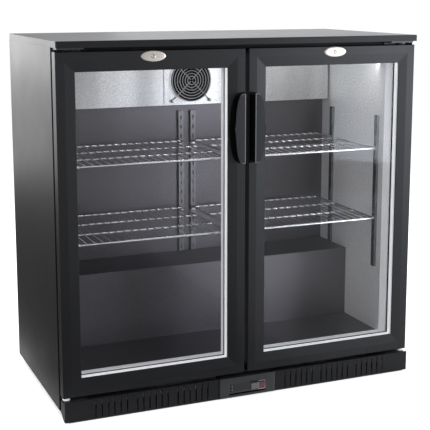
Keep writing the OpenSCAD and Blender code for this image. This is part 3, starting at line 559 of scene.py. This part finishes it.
def worktop():
    """Folded sheet: a flat top, four skirts with a rounded fold, and a return under the lip."""
    x, y, z = spans("worktop")
    bm = bmesh.new()

    def outline(inset, height, r):
        pts = []
        for cx, cy, start in ((x[1], y[0], -90), (x[1], y[1], 0), (x[0], y[1], 90),
                              (x[0], y[0], 180)):
            ox = cx - math.copysign(r, cx)
            oy = cy + r if cy == y[0] else cy - r
            for k in range(5):
                a = math.radians(start + k * 22.5)
                pts.append((ox + (r - inset) * math.cos(a), oy + (r - inset) * math.sin(a), height))
        return pts

    r, fold, steel = 3.0, 1.6, 1.0
    rings = [outline(1.0, z[0] + 0.2, r), outline(0.0, z[0], r), outline(0.0, z[1] - fold, r)]
    for k in range(1, 6):
        a = math.radians(k * 18)
        rings.append(outline(fold * (1 - math.cos(a)), z[1] - fold + fold * math.sin(a), r))
    loft(bm, rings, caps=False)
    top = rings[-1]
    bm.verts.ensure_lookup_table()
    bm.faces.new(bm.verts[-len(top):])
    inner = [outline(steel, z[0] + 0.2, r), outline(steel, z[1] - 1.2, r)]
    loft(bm, [list(reversed(i)) for i in inner], caps=False)
    bm.verts.ensure_lookup_table()
    bm.faces.new(bm.verts[-len(top):])

    # The return under the lip is cut through above each lock, where the turned cam comes up.
    lock = sum(span("left_lock_escutcheon", 0)) / 2
    cam = span("left_lock_cylinder", 1)[1]
    near, far = 7, 23
    ends = (x[0] + steel, x[1] - steel)
    bands = (y[0] + steel, cam - 5, cam + 1, 48.0)
    low = (z[0], z[0] + steel)
    for band in (bands[0:2], bands[2:4]):
        block(bm, ends, band, low, 0.2)
    for part in ((ends[0], lock - near), (lock + far, -lock - far), (-lock + near, ends[1])):
        block(bm, part, bands[1:3], low, 0.2)
    bm.normal_update()
    mark([f for f in bm.faces if abs(f.normal.x) > 0.8 or f.normal.y < -0.8], 1)
    publish("worktop_folded", bm, ("worktop", "case"), "cabinet", ("worktop",),
            angle=50)


def screw_head(bm, centre, axis, sign, r=3.8, h=2.0):
    """Pan head with a cross recess drawn as two dark bars let into it: painted shade of the recess."""
    prof = [(0, sign * h * 0.62), (r * 0.28, sign * h * 0.62), (r * 0.34, sign * h),
            (r * 0.7, sign * h * 0.93), (r * 0.93, sign * h * 0.62), (r, sign * h * 0.15), (r, 0)]
    if sign > 0:
        prof = list(reversed(prof))
    faces = lathe(bm, prof, centre, axis, 24)
    outward(bm, faces)
    arm, width = r * 0.5, 0.35
    cx, cy, cz = centre
    lift = (sign * h * 0.7, sign * h * 1.02)
    for u, v in ((width, arm), (arm, width)):
        if axis == "y":
            block(bm, (cx - u, cx + u), (cy + lift[0], cy + lift[1]), (cz - v, cz + v), 0.1, 1, 1)
        else:
            block(bm, (cx - u, cx + u), (cy - v, cy + v), (cz + lift[0], cz + lift[1]), 0.1, 1, 1)


def screws():
    """Heads on the hinge brackets, the fan frame and the rear grille."""
    bm = bmesh.new()
    low, high = span("hinge_brackets", 2)
    for side in (-1, 1):
        for x in (420, 404, 390):
            screw_head(bm, (side * x, 34, high - 4), "z", -1)
        for x in (422, 404):
            screw_head(bm, (side * x, 34, low + 3), "z", 1)
    face = span("evaporator_fan_guard", 1)[0] + 1
    mid = sum(span("evaporator_fan_guard", 2)) / 2
    reach = 52.4
    for sx in (-reach, reach):
        for sz in (-reach, reach):
            screw_head(bm, (sx, face, mid + sz), "y", -1, 3.6, 1.6)
    back = span("rear_grille", 1)[1]
    rows = span("rear_grille", 2)
    for x in (-425, 0, 425):
        for z in (rows[0] + 8, rows[1] - 7):
            screw_head(bm, (x, back, z), "y", 1)
    publish("screw_heads", bm, ("zinc", "pit"), "cabinet", ("case_screws",))


def feet():
    """Four rubber feet on stems, each with a ribbed rim."""
    bm = bmesh.new()
    x, y = span("leveling_feet", 0), span("leveling_feet", 1)
    r = 20
    prof = [(0, 0.4), (14, 0.4), (16, 0), (18.6, 0), (r, 1.4), (r, 8.6), (18.8, 10), (16, 12.6),
            (9.5, 14.4), (9, 15.8), (5, 16), (5, 30), (0, 30)]
    for cx in (x[0] + r, x[1] - r):
        for cy in (y[0] + r, y[1] - r):
            faces = lathe(bm, prof, (cx, cy, 0), "z", 48)
            for k in range(24):
                a = math.radians(k * 15)
                px, py = cx + 19.7 * math.cos(a), cy + 19.7 * math.sin(a)
                faces += tube(bm, [(px, py, 2.2), (px, py, 8.2)], 0.7, 6)
            outward(bm, faces)
    publish("levelling_feet_ribbed", bm, "rubber", "cabinet", ("leveling_feet",))


def spacers():
    """Dished round buffers that keep the back off the wall."""
    bm = bmesh.new()
    x, y = span("rear_spacers", 0), span("rear_spacers", 1)
    z = sum(span("rear_spacers", 2)) / 2
    r, long = 20, 21
    prof = [(0, 18), (4.5, 18), (8, 18.5), (9, long), (13.6, long), (15.4, 18.4), (19.4, 2), (r, 1.2),
            (r, -1), (0, -1)]
    for cx in (x[0] + r, x[1] - r):
        faces = lathe(bm, prof, (cx, y[1] - long, z), "y", 48)
        outward(bm, faces)
    publish("wall_spacers", bm, "plastic", "cabinet", ("rear_spacers",))


def gland():
    """Rubber bush in the grille with a groove round its rim."""
    bm = bmesh.new()
    gx, gz = sum(span("cable_gland", 0)) / 2, sum(span("cable_gland", 2)) / 2
    y = span("cable_gland", 1)
    prof = [(4.5, y[0]), (8, y[0]), (8, 468), (12, 468.4), (12, 471), (11.4, 471.6), (12, 472.2),
            (12, 473), (11, 474), (7, 474), (5.2, 473.4), (4.5, 472.6), (4.5, y[0])]
    faces = lathe(bm, prof, (gx, 0, gz), "y", 40)
    outward(bm, faces)
    publish("cord_gland", bm, "rubber", "cabinet", ("cable_gland",))


# ---------------------------------------------------------------- controller


def controller():
    """The face is a ring of bars round its openings, so every recess is a real hole."""
    x, y, z = spans("controller_housing")
    bm = bmesh.new()
    face = y[0]
    side = 48
    long = (-side - 0.6, side + 0.6)
    thick = (face, face + 3)
    for ends in ((x[0], -side), (side, x[1])):
        block(bm, ends, thick, z, 0.9, 3)
    # Paler strip along the face's right end: painted highlight.
    block(bm, (x[1] - 1.1, x[1] - 0.2), (face, face + 1), (z[0] + 0.6, z[1] - 0.6), 0.3, 2, 4)
    for rows in ((z[0], 7), (39.5, z[1])):
        block(bm, long, thick, rows, 0.7, 2)

    # Bars between the openings: window, keys and the two rockers, from the left.
    thin, deeper = (face + 0.5, face + 3), (face + 0.6, face + 3)
    keys = (-44.6, -35.4)
    tall = (12, 40)
    block(bm, long, thin, (11, 12.6), 0.2)
    for bar, depth, rows in (
        ((long[0], -44.4), thin, tall), ((-35.6, 10.4), thin, (12, 17)), (keys, deeper, (33, 40)),
        (keys, deeper, (12, 16)), (keys, deeper, (23.4, 25.6)), ((28.6, 30.4), thin, tall),
        ((46.6, long[1]), thin, tall), ((-35.6, long[1]), thin, (34.4, 40)), ((8.4, 10.6), thin, tall),
    ):
        block(bm, bar, depth, rows, 0.3)

    # Box behind the face, the dark groove below the openings, whose near-black back is painted shade, and
    # the window's pane.
    block(bm, (x[0] + 6, x[1] - 6), (face + 14, y[1]), (z[0] + 3, z[1] - 3), 1.5, 3)
    block(bm, (-side, side), (face + 6, face + 14), (z[0] + 3, 12), 0.3, 1, 1)
    block(bm, (-36, 9), (face + 1.4, face + 3), (16.6, 35), 0.4, 2, 2)

    # Pale rim round the power rocker.
    rim = (face + 0.1, face + 2)
    for px in (30.2, 47):
        block(bm, (px - 0.7, px + 0.1), rim, (12.8, 33.6), 0.15, 1, 3)
    for pz in (12.8, 33.2):
        block(bm, (30.2, 46.6), rim, (pz - 0.4, pz + 0.4), 0.15, 1, 3)
    publish("controller_face", bm, ("panel", "pit", "gloss", "rim", "edge_glint"), "cabinet",
            ("controller_housing",))


def rocker(node, body, look, ridges):
    """Cap with two hollowed flats, drawn pressed at the bottom."""
    x, z = span(node, 0), span(node, 2)
    mid = sum(z) / 2
    bm = bmesh.new()
    turn = Matrix.Rotation(math.radians(9), 4, "X")
    pin_y = 4

    def tipped(y, up):
        p = turn @ Vector((0, y, up))
        return p.y + pin_y, p.z + mid

    section = []
    for k in range(13):
        t = -1 + k / 6
        hollow = 0.9 * math.sin(math.pi * abs(t)) if abs(t) < 1 else 0
        section.append((-4.6 + hollow, 8.8 * t))
    section += [(3.6, 7.4), (3.6, -7.4)]
    rings = []
    for px, inset in ((x[0], 0.5), (x[0] + 0.5, 0.0), (x[1] - 0.5, 0.0), (x[1], 0.5)):
        rings.append([(px, *tipped(a + inset, b * (1 - 0.03 * inset))) for a, b in section])
    faces = loft(bm, rings)
    if ridges:
        for k in range(3):
            px = x[0] + 4 + k * (x[1] - x[0] - 8) / 2
            faces += tube(bm, [(px, *tipped(-4.7, t)) for t in (-6.5, -3, 3, 6.5)], 0.45, 8, look=1)
    outward(bm, faces)
    publish(node + "_cap", bm, (look, "rim"), body, (node,), angle=28)


def button(node, body):
    """Round key with a dished front."""
    x, y, z = spans(node)
    bm = bmesh.new()
    r = (x[1] - x[0]) / 2
    prof = [(0, y[1]), (r, y[1]), (r, y[0] + 0.7), (r - 0.25, y[0] + 0.2), (r - 0.7, y[0]),
            (r * 0.4, y[0] + 0.15), (0, y[0] + 0.25)]
    faces = lathe(bm, prof, (sum(x) / 2, 0, sum(z) / 2), "y", 28)
    outward(bm, faces)
    publish(node + "_cap", bm, "grey", body, (node,))


# ---------------------------------------------------------------- interior


def shelf(node):
    """Plated wire shelf: a bent rod frame, two cross rods, and wires on top."""
    x, y, z = spans(node)
    mid = z[0] + ROD
    x = (x[0] + ROD, x[1] - ROD)
    y = (y[0] + ROD, y[1] - ROD)
    bm = bmesh.new()
    r = 9.0
    rim = []
    for cx, cy, start in ((x[1] - r, y[0] + r, -90), (x[1] - r, y[1] - r, 0),
                          (x[0] + r, y[1] - r, 90), (x[0] + r, y[0] + r, 180)):
        for k in range(7):
            a = math.radians(start + 15 * k)
            rim.append((cx + r * math.cos(a), cy + r * math.sin(a), mid))
    tube(bm, rim, ROD, 12, closed=True)
    for f in (1 / 3, 2 / 3):
        cy = y[0] + f * (y[1] - y[0])
        tube(bm, [(x[0], cy, mid - 0.5), (x[1], cy, mid - 0.5)], ROD - 0.5, 10)
    count = 18
    top, end = mid + 2.25, mid + 0.6
    for i in range(1, count + 1):
        px = x[0] + i * (x[1] - x[0]) / (count + 1)
        path = [(px, y[0] - 1.2, end), (px, y[0] + 0.6, top), (px, y[1] - 0.6, top),
                (px, y[1] + 1.2, end)]
        tube(bm, round_corners(path, 2.5, 3), 1.75, 8)
    publish(node + "_wires", bm, "wire", "cabinet", (node,), angle=50)


def clips():
    """Bent strip clips: a tongue under the rod with its ends turned down."""
    bm = bmesh.new()
    strap, half = 1.6, 5
    wall_x, rod_x, pair_x = 403, 385, 17
    for side in (-1, 1):
        for z in (span("upper_left_shelf", 2)[0] + ROD, span("lower_left_shelf", 2)[0] + ROD):
            under = z - ROD
            tongue = (under - strap, under)
            for y in (106, 339):
                along = (y - half, y + half)
                wall, rod = side * wall_x, side * rod_x
                block(bm, (wall, rod), along, tongue, 0.5)
                block(bm, (wall, wall - side * strap), along, (z - 9, under), 0.5)
                block(bm, (rod + side * 2, rod), along, (z - 7, under), 0.5)
            across = (side * pair_x - half, side * pair_x + half)
            for y0, y1 in ((385, 394), (70, 79)):
                block(bm, across, (y0, y1), tongue, 0.5)
                edge = y1 - strap if y0 > 300 else y0
                block(bm, across, (edge, edge + strap), (z - 9, under), 0.5)
    publish("shelf_clips_bent", bm, "zinc", "cabinet", ("shelf_clips",))


def fan_guard():
    """Seven wire rings on four bent arms, each arm ending in a screw eye."""
    y = span("evaporator_fan_guard", 1)[0] + 1.1
    mid = sum(span("evaporator_fan_guard", 2)) / 2
    bm = bmesh.new()
    wire, first, pitch, eye = 1.15, 11, 7.2, 74.1
    for k in range(7):
        r = first + pitch * k
        pts = [(r * math.cos(a), y, mid + r * math.sin(a))
               for a in circle(72)]
        tube(bm, pts, wire, 8, closed=True)
    for k in range(4):
        a = math.radians(45 + 90 * k)
        c, s = math.cos(a), math.sin(a)
        path = [(r * c, y + back, mid + r * s)
                for r, back in ((3, 1.6), (58, 1.6), (66, 4.4), (eye, 4.6))]
        tube(bm, round_corners(path, 6, 4), wire, 8)
        faces = lathe(bm, [(2, 6.6), (4.5, 6.6), (4.5, 1.0), (4.0, 0.4), (2, 0.4), (2, 6.6)],
                      (eye * c, y, mid + eye * s), "y", 20)
        outward(bm, faces)
    publish("fan_guard_rings", bm, "guard", "cabinet", ("evaporator_fan_guard",),
            angle=60)


def fan(node, body, look, hub, blades, twist, cup):
    """Wheel with a dished hub and swept blades that are twisted and cupped."""
    x, y, z = spans(node)
    cx, cy, cz = sum(x) / 2, sum(y) / 2, sum(z) / 2
    tip = (z[1] - z[0]) / 2 - 0.4
    half = (y[1] - y[0]) / 2
    bm = bmesh.new()
    bore = 2.55
    prof = [(bore, -half), (hub * 0.7, -half), (hub * 0.94, -half + 1.2), (hub, -half + 3.0),
            (hub, half), (hub - 2, half), (hub - 2, -half + 4), (bore, -half + 4), (bore, -half)]
    faces = lathe(bm, prof, (cx, cy, cz), "y", 48)
    for k in range(blades):
        base = 2 * math.pi * k / blades
        rows = []
        for i in range(9):
            t = i / 8
            r = hub - 0.8 + t * (tip - hub + 0.8)
            spread = (0.40 + 0.22 * t) * 6 / blades * (1.0 if i < 8 else 0.82)
            lean = math.radians(twist) * (1 - 0.45 * t)
            row = []
            for j in range(9):
                s = -1 + j / 4
                a = base + 0.35 * t + s * spread
                rise = s * half * 0.92 * math.sin(lean) / math.sin(math.radians(twist))
                rise += cup * (1 - s * s)
                row.append((cx + r * math.cos(a), cy + rise * 0.9, cz + r * math.sin(a)))
            rows.append(row)
        back = [[(px, py + 1.1, pz) for px, py, pz in row] for row in rows]
        rings = [row + list(reversed(b)) for row, b in zip(rows, back)]
        faces += loft(bm, rings)
    outward(bm, faces)
    publish(node + "_wheel", bm, look, body, (node,), angle=40)


def lamp():
    """Open-bottomed tray with a rounded lens in it."""
    x, y, z = spans("cabinet_lamp")
    bm = bmesh.new()
    cy = sum(y) / 2
    block(bm, x, (y[0], y[0] + 2), z, 0.5)
    block(bm, x, (y[1] - 2, y[1]), z, 0.5)
    block(bm, (x[0], x[0] + 3), y, z, 0.6)
    block(bm, (x[1] - 3, x[1]), y, z, 0.6)
    block(bm, x, y, (z[1] - 3, z[1]), 0.4)
    half = (y[1] - y[0]) / 2 - 2.2
    ring = [(cy + half * math.cos(math.radians(a)), z[0] + 5.5 - 4.6 * math.sin(math.radians(a)))
            for a in range(0, 181, 15)]
    loft(bm, [[(px, a, b) for a, b in ring] for px in (x[0] + 3, x[1] - 3)], look=1)
    publish("strip_lamp", bm, ("lampcase", "lens"), "cabinet", ("cabinet_lamp",))


# ---------------------------------------------------------------- doors


def door_frame(name, body, flip):
    """Mitred frame: a flat outer band, a sloping inner one, and a groove for the glass."""
    x, y, z = spans("left_door_frame")
    front = y[0]
    profile = [(0.0, front + 1.4), (0.4, front + 0.4), (1.4, front), (19.6, front),
               (20.6, front + 0.08), (42.6, front + 2.0), (43.5, front + 2.4), (43.5, front + 3.5),
               (31.5, front + 3.5), (31.5, front + 23.5), (43.0, front + 23.5), (43.0, front + 27.4),
               (42.4, front + 28), (0.6, front + 28), (0.0, front + 27.4)]
    bm = bmesh.new()
    window_ring(bm, x, z, profile, 0.1)
    bm.normal_update()
    mark([f for f in bm.faces if f.normal.x < -0.9], 1)
    publish(name + "_frame_mitred", bm, ("door", "case"), body,
            (name + "_door_frame",), flip, angle=14)


def door_gasket(name, body, flip):
    """Rubber bellows round the back of the frame, with two lips at its foot."""
    x, z = span("left_door_frame", 0), span("left_door_frame", 2)
    foot, tip = span("left_door_gasket", 1)
    profile = [(20.8, foot), (20.2, foot + 1.6), (21.6, foot + 2.8), (20.2, foot + 4.2),
               (20.0, tip - 1.4), (20.8, tip - 0.3), (22, tip), (30, tip), (31.2, tip - 0.3),
               (32, tip - 1.4), (31.8, foot + 4.2), (30.4, foot + 2.8), (31.8, foot + 1.6),
               (31.2, foot)]
    bm = bmesh.new()
    window_ring(bm, x, z, profile)
    publish(name + "_gasket_bellows", bm, "rubber", body, (name + "_door_gasket",),
            flip, angle=40)


def door_bushes(name, body, flip):
    """Flanged bushes let into the frame's ends, round the hinge pins."""
    bm = bmesh.new()
    z = span("left_door_frame", 2)
    low, high = span("left_door_bushes", 2)
    cx, cy = sum(span("left_door_bushes", 0)) / 2, sum(span("left_door_bushes", 1)) / 2
    bore, sleeve, flange = 4.05, 6.5, 8.5
    # The upper bush takes the near-black look, painted shade under the worktop; the lower one keeps its
    # white.
    for a, b, s in ((high, z[1], 1), (low, z[0], -1)):
        prof = [(bore, a), (8.0, a), (flange, a - s * 0.5), (flange, b + s * 0.1), (sleeve, b),
                (sleeve, b - s * 21), (bore, b - s * 21), (bore, a)]
        faces = lathe(bm, prof, (cx, cy, 0), "z", 40, look=int(s > 0))
        outward(bm, faces)
    publish(name + "_hinge_bushes", bm, ("bush", "pit"), body,
            (name + "_door_bushes",), flip)


def lock_plate(name, body, flip):
    """Domed oval plate with a shallow dish round the lock."""
    bm = bmesh.new()
    x, y, z = spans("left_lock_escutcheon")
    cx, cz = sum(x) / 2, sum(z) / 2
    w, h = (x[1] - x[0]) / 2, (z[1] - z[0]) / 2
    rings = []
    for rx, rz, out in ((w, h, 0), (w, h, 1.1), (w * 0.985, h * 0.985, 1.6), (w * 0.94, h * 0.94, 2.0),
                        (w * 0.82, h * 0.82, 2.3), (12.0, 9.0, 2.5), (5.6, 5.6, 2.5)):
        rings.append([(cx + rx * math.cos(a), y[1] - out, cz + rz * math.sin(a))
                      for a in circle(64)])
    faces = loft(bm, rings, caps=False)
    outward(bm, faces)
    publish(name + "_lock_plate", bm, "lock", body,
            (name + "_lock_escutcheon",), flip)


def lock_barrel(name, flip):
    """Turned barrel with a dark keyway, painted shade of the slot, and the flat cam on its inner end."""
    bm = bmesh.new()
    x, y = span("left_lock_cylinder", 0), span("left_lock_cylinder", 1)
    cx, cz = sum(span("left_lock_escutcheon", 0)) / 2, sum(span("left_lock_escutcheon", 2)) / 2
    barrel, neck, shoulder = 5.5, 5.0, 36
    prof = [(0, y[0] + 1.2), (2.6, y[0] + 1.2), (2.9, y[0] + 0.3), (3.6, y[0]), (4.9, y[0] + 0.2),
            (5.4, y[0] + 0.7), (barrel, y[0] + 1.4), (barrel, shoulder), (neck, shoulder),
            (neck, y[1]), (0, y[1])]
    faces = lathe(bm, prof, (cx, 0, cz), "y", 48)
    outward(bm, faces)
    # Near-black bar for the keyway: painted shade.
    block(bm, (cx - 0.55, cx + 0.55), (y[0] + 0.9, y[0] + 1.4), (cz - 2.2, cz + 2.2), 0.1, 1, 1)
    cam = []
    for k in range(13):
        a = math.radians(90 + 15 * k)
        cam.append((cx + neck * math.cos(a), cz + neck * math.sin(a)))
    cam += [(x[1] - back, cz + up) for back, up in ((2.5, -4.2), (0.6, -3), (0, 0), (0.6, 3), (2.5, 4.2))]
    faces = loft(bm, [[(a, depth, b) for a, b in cam] for depth in (y[1] - 3, y[1])], look=2)
    outward(bm, faces)
    publish(name + "_lock_barrel", bm, ("lock", "pit", "zinc"), name + "_lock",
            (name + "_lock_cylinder",), flip)


def door(name, flip):
    """One door with all that it carries; the left one is drawn and the right one mirrors it."""
    body = name + "_door"
    for piece in (door_frame, door_gasket, handle, door_bushes, lock_plate):
        piece(name, body, flip)
    lock_barrel(name, flip)


def handle(name, body, flip):
    """Half-oval plate held off the door by a slanted inner wall, open for the fingers outside."""
    hy, hz = span("left_door_handle", 1), span("left_door_handle", 2)
    mid = sum(hz) / 2
    face = span("left_door_frame", 1)[0]
    straight = -12.3
    half = (hz[1] - hz[0]) / 2 - 2

    def d_shape(w, tall, edge, bump, n=40):
        """Points of a D with a small bump at the middle of its curved side."""
        pts = []
        for k in range(n + 1):
            a = math.pi * k / n
            out = w * math.sin(a) ** 0.55
            lift = bump * math.exp(-((tall * math.cos(a)) / 7.5) ** 2)
            pts.append((edge - out - lift, mid + tall * math.cos(a)))
        return pts

    bm = bmesh.new()
    rings = []
    for inset, back in ((0.6, 3.5), (0.0, 2.9), (0.0, 1.6), (0.5, 0.5), (1.8, 0)):
        pts = d_shape(24.5 - inset, half - inset, straight - inset, 2.8)
        rings.append([(a, hy[0] + back, b) for a, b in pts])
    faces = loft(bm, rings)
    outward(bm, faces)
    bm.normal_update()
    # The plate's bevel ring takes the paler colour: painted highlight.
    mark([f for f in faces if -0.97 < f.normal.y < -0.3], 2)

    # Dark base plate on the door, and the slanted wall between it and the plate, both near-black: partly
    # the black moulding, partly painted shade of the finger gap.
    rings = []
    for w, taller, edge, out, bump in ((38.0, 2, -6.0, 0, 2.0), (37.4, 1.4, -6.3, 1.2, 2.0),
                                       (36.4, 0.6, -6.8, 2.0, 1.6)):
        rings.append([(a, face - out, b) for a, b in d_shape(w, half + taller, edge, bump)])
    dark = loft(bm, rings, look=1)
    wall = []
    for sign, from_end, squeeze in ((-1, 4, 0.35), (-1, 7, 0.8), (-1, 11, 1.0), (1, 11, 1.0),
                                    (1, 7, 0.8), (1, 4, 0.35)):
        z = mid + sign * (half - from_end)
        lean = 6.0 + 5.0 * (1 - squeeze)
        wall.append([(-lean, face - 1, z), (-lean - 4.5, face - 1, z),
                     (straight - 4.0, hy[0] + 3.2, z), (straight, hy[0] + 3.2, z)])
    dark += loft(bm, wall, look=1)
    outward(bm, dark)
    publish(name + "_pull_handle", bm, ("door", "pit", "edge"), body,
            (name + "_door_handle",), flip, angle=30)


# ---------------------------------------------------------------- machine bay extras


def compressor_details():
    """Terminal cover and weld seam on the compressor's shell."""
    bm = bmesh.new()
    cx, cy = sum(span("compressor", 0)) / 2, sum(span("compressor", 1)) / 2
    block(bm, (cx - 26, cx + 26), (cy + 58, cy + 76), (70, 118), 4, 3)
    seam_r, seam_z = 68.4, 95
    ring = [(cx + seam_r * math.cos(a), cy + seam_r * math.sin(a), seam_z)
            for a in circle(64)]
    tube(bm, ring, 1.4, 8, closed=True)
    publish("compressor_terminal_cover", bm, "plastic", "cabinet")


def condenser_bends():
    """Return bends that join the condenser's rows at alternate ends."""
    bm = bmesh.new()
    x = span("condenser_coil", 0)
    y = span("condenser_coil", 1)[1] - 4
    pitch = 40
    for end, s in ((x[0], -1), (x[1], 1)):
        for k in range(3):
            low = 60 + pitch * k
            if (k % 2 == 0) == (s > 0):
                pts = [(end - s * 2, y, low)]
                for step in range(0, 181, 15):
                    a = math.radians(step)
                    pts.append((end + s * 6 * math.sin(a), y, low + pitch / 2 * (1 - math.cos(a))))
                pts.append((end - s * 2, y, low + pitch))
                tube(bm, pts, 3.9, 12)
    publish("condenser_return_bends", bm, "steel", "cabinet")


worktop()
screws()
feet()
spacers()
gland()
controller()
rocker("power_rocker", "power_switch", "red", False)
rocker("lamp_rocker", "lamp_switch", "grey", True)
button("up_button", "up_key")
button("down_button", "down_key")
for shelf_node in ("upper_left_shelf", "upper_right_shelf", "lower_left_shelf", "lower_right_shelf"):
    shelf(shelf_node)
clips()
fan_guard()
# The evaporator fan's wheel is near-black: partly black plastic, partly painted shade inside its frame.
fan("evaporator_fan_blade", "evaporator_fan", "pit", 19, 7, 38, 1.5)
fan("condenser_fan_blade", "condenser_fan", "fins", 20, 5, 34, 2.0)
lamp()
door("left", False)
door("right", True)
compressor_details()
condenser_bends()


# ---------------------------------------------------------------- stage, light, camera


def studio_piece(name, bm, mat):
    """A piece of the studio, not of the object."""
    mesh = bpy.data.meshes.new(name)
    bm.to_mesh(mesh)
    bm.free()
    mesh.materials.append(mat)
    obj = bpy.data.objects.new(name, mesh)
    SCENE.collection.objects.link(obj)
    return obj


def sheet(name, x, y, z, mat):
    """Flat rectangle, facing up."""
    bm = bmesh.new()
    corners = ((x[0], y[0]), (x[1], y[0]), (x[1], y[1]), (x[0], y[1]))
    bm.faces.new([bm.verts.new((a, b, z)) for a, b in corners])
    return studio_piece(name, bm, mat)


def matt(name, low, high):
    """Dull studio surface that drifts between two greys."""
    mat, nodes, links, bsdf = node_tree(name)
    coords = nodes.new("ShaderNodeTexCoord")
    drift = add_noise(nodes, links, coords, 1.5)
    ramp = ramp_between(nodes, links, drift.outputs["Fac"], low, high)
    links.new(ramp.outputs["Color"], bsdf.inputs["Base Color"])
    put(bsdf, "Roughness", 0.9)
    return mat, nodes, links, bsdf


def floor():
    """Pale floor, which the camera sees a little brighter so that it meets the white behind."""
    mat, nodes, links, bsdf = matt("studio_floor", (0.86, 0.86, 0.87), (0.9, 0.9, 0.9))
    put(bsdf, "Specular IOR Level", 0.1)
    seen = nodes.new("ShaderNodeLightPath")
    links.new(seen.outputs["Is Camera Ray"], bsdf.inputs["Emission Strength"])
    put(bsdf, "Emission Color", (0.42, 0.415, 0.41, 1))
    bm = bmesh.new()
    cells, size, z = 24, 9.0, -0.0005
    steps = [-size + 2 * size * i / cells for i in range(cells + 1)]
    grid = [[bm.verts.new((x, y, z)) for x in steps] for y in steps]
    for near, far in zip(grid, grid[1:]):
        for i in range(cells):
            bm.faces.new((near[i], near[i + 1], far[i + 1], far[i]))
    studio_piece("floor", bm, mat)


def floor_under_cabinet():
    """Darker patch under the cabinet, painted shadow, so that no bright floor shows through the vents."""
    mat = matt("floor_under_cabinet", (0.3, 0.3, 0.3), (0.34, 0.34, 0.34))[0]
    front = P(0, span("kick_plate", 1)[0] + 1, 0).y
    sheet("floor_patch", (-0.44, 0.44), (front, 0.226), -0.0003, mat)


def flags():
    """Black flags low behind the left side and in front, which only reflections see."""
    mat, _, _, bsdf = node_tree("flag_black")
    put(bsdf, "Roughness", 1.0)
    put(bsdf, "Base Color", (0.07, 0.07, 0.07, 1))
    put(bsdf, "Specular IOR Level", 0.0)
    for name, x, y in (("flag_left", (-3.6, -0.5), (-0.3, 3.0)),
                       ("flag_front", (-1.4, 0.25), (-3.2, -0.35))):
        flag = sheet(name, x, y, 0.004, mat)
        flag.visible_camera = flag.visible_diffuse = flag.visible_shadow = False
        flag.visible_transmission = False


def area(name, place, aim, size, glare, colour=(1, 1, 1)):
    """Soft box of an even brightness, which the camera doesn't see itself."""
    light = bpy.data.lights.new(name, "AREA")
    light.shape = "RECTANGLE"
    light.size, light.size_y = size
    light.energy = glare * math.pi * size[0] * size[1]
    light.color = colour
    obj = bpy.data.objects.new(name, light)
    obj.location = place
    obj.rotation_euler = (Vector(aim) - Vector(place)).to_track_quat("-Z", "Y").to_euler()
    obj.visible_camera = False
    SCENE.collection.objects.link(obj)


def lights():
    """White room, seen brighter by the camera, soft boxes round the object, and a strip inside."""
    world = bpy.data.worlds.new("studio")
    world.use_nodes = True
    nodes, links = world.node_tree.nodes, world.node_tree.links
    room = nodes["Background"]
    put(room, "Color", (0.96, 0.97, 1.0, 1))
    put(room, "Strength", 0.68)
    backdrop = nodes.new("ShaderNodeBackground")
    put(backdrop, "Color", (1.0, 1.0, 1.0, 1))
    put(backdrop, "Strength", 1.02)
    seen = nodes.new("ShaderNodeLightPath")
    mix = nodes.new("ShaderNodeMixShader")
    links.new(seen.outputs["Is Camera Ray"], mix.inputs["Fac"])
    links.new(room.outputs["Background"], mix.inputs[1])
    links.new(backdrop.outputs["Background"], mix.inputs[2])
    links.new(mix.outputs["Shader"], nodes["World Output"].inputs["Surface"])
    SCENE.world = world
    area("overhead", (0, 0.2, 3.0), (0, 0, 0), (3.4, 3.4), 1.0)
    area("front_fill", (-2.1, -1.7, 1.3), (0.1, 0.0, 0.5), (1.1, 1.1), 6.5)
    area("side_wash", (-1.2, 1.9, 1.02), (-0.45, 0.0, 0.85), (1.5, 0.8), 4.2)
    area("side_fade", (-1.2, 1.9, 0.4), (-0.45, 0.0, 0.5), (1.5, 0.42), 1.2)
    area("top_wash", (1.5, 2.2, 1.45), (0.2, 0.0, 0.85), (2.1, 1.0), 0.72)
    area("front_wash", (1.9, -2.1, 0.7), (0.3, -0.2, 0.6), (1.1, 1.1), 9.5, (0.86, 0.9, 1.0))
    area("back_fill", (0.7, 2.4, 2.7), (0, 0, 0.4), (1.2, 1.2), 1.8)
    area("right_fill", (3.0, 0.9, 1.6), (0.4, 0, 0.5), (1.4, 1.4), 4.0)
    area("strip", P(130, 109, 786), P(130, 300, 600), (0.62, 0.02), 9.0, (1.0, 0.99, 0.97))


def camera():
    """Camera before the left front corner, looking slightly down."""
    cam = bpy.data.cameras.new("camera")
    cam.lens = 88.1
    cam.sensor_width = 36
    cam.shift_y = -0.10
    cam.clip_end = 50
    obj = bpy.data.objects.new("camera", cam)
    az, el = math.radians(22.75), math.radians(9.69)
    look = Vector((math.sin(az) * math.cos(el), math.cos(az) * math.cos(el), -math.sin(el)))
    obj.location = (-1.0035, -2.43, 0.9579)
    obj.rotation_euler = look.to_track_quat("-Z", "Y").to_euler()
    SCENE.collection.objects.link(obj)
    SCENE.camera = obj


floor()
floor_under_cabinet()
flags()
lights()
camera()
SCENE.view_settings.view_transform = "Standard"
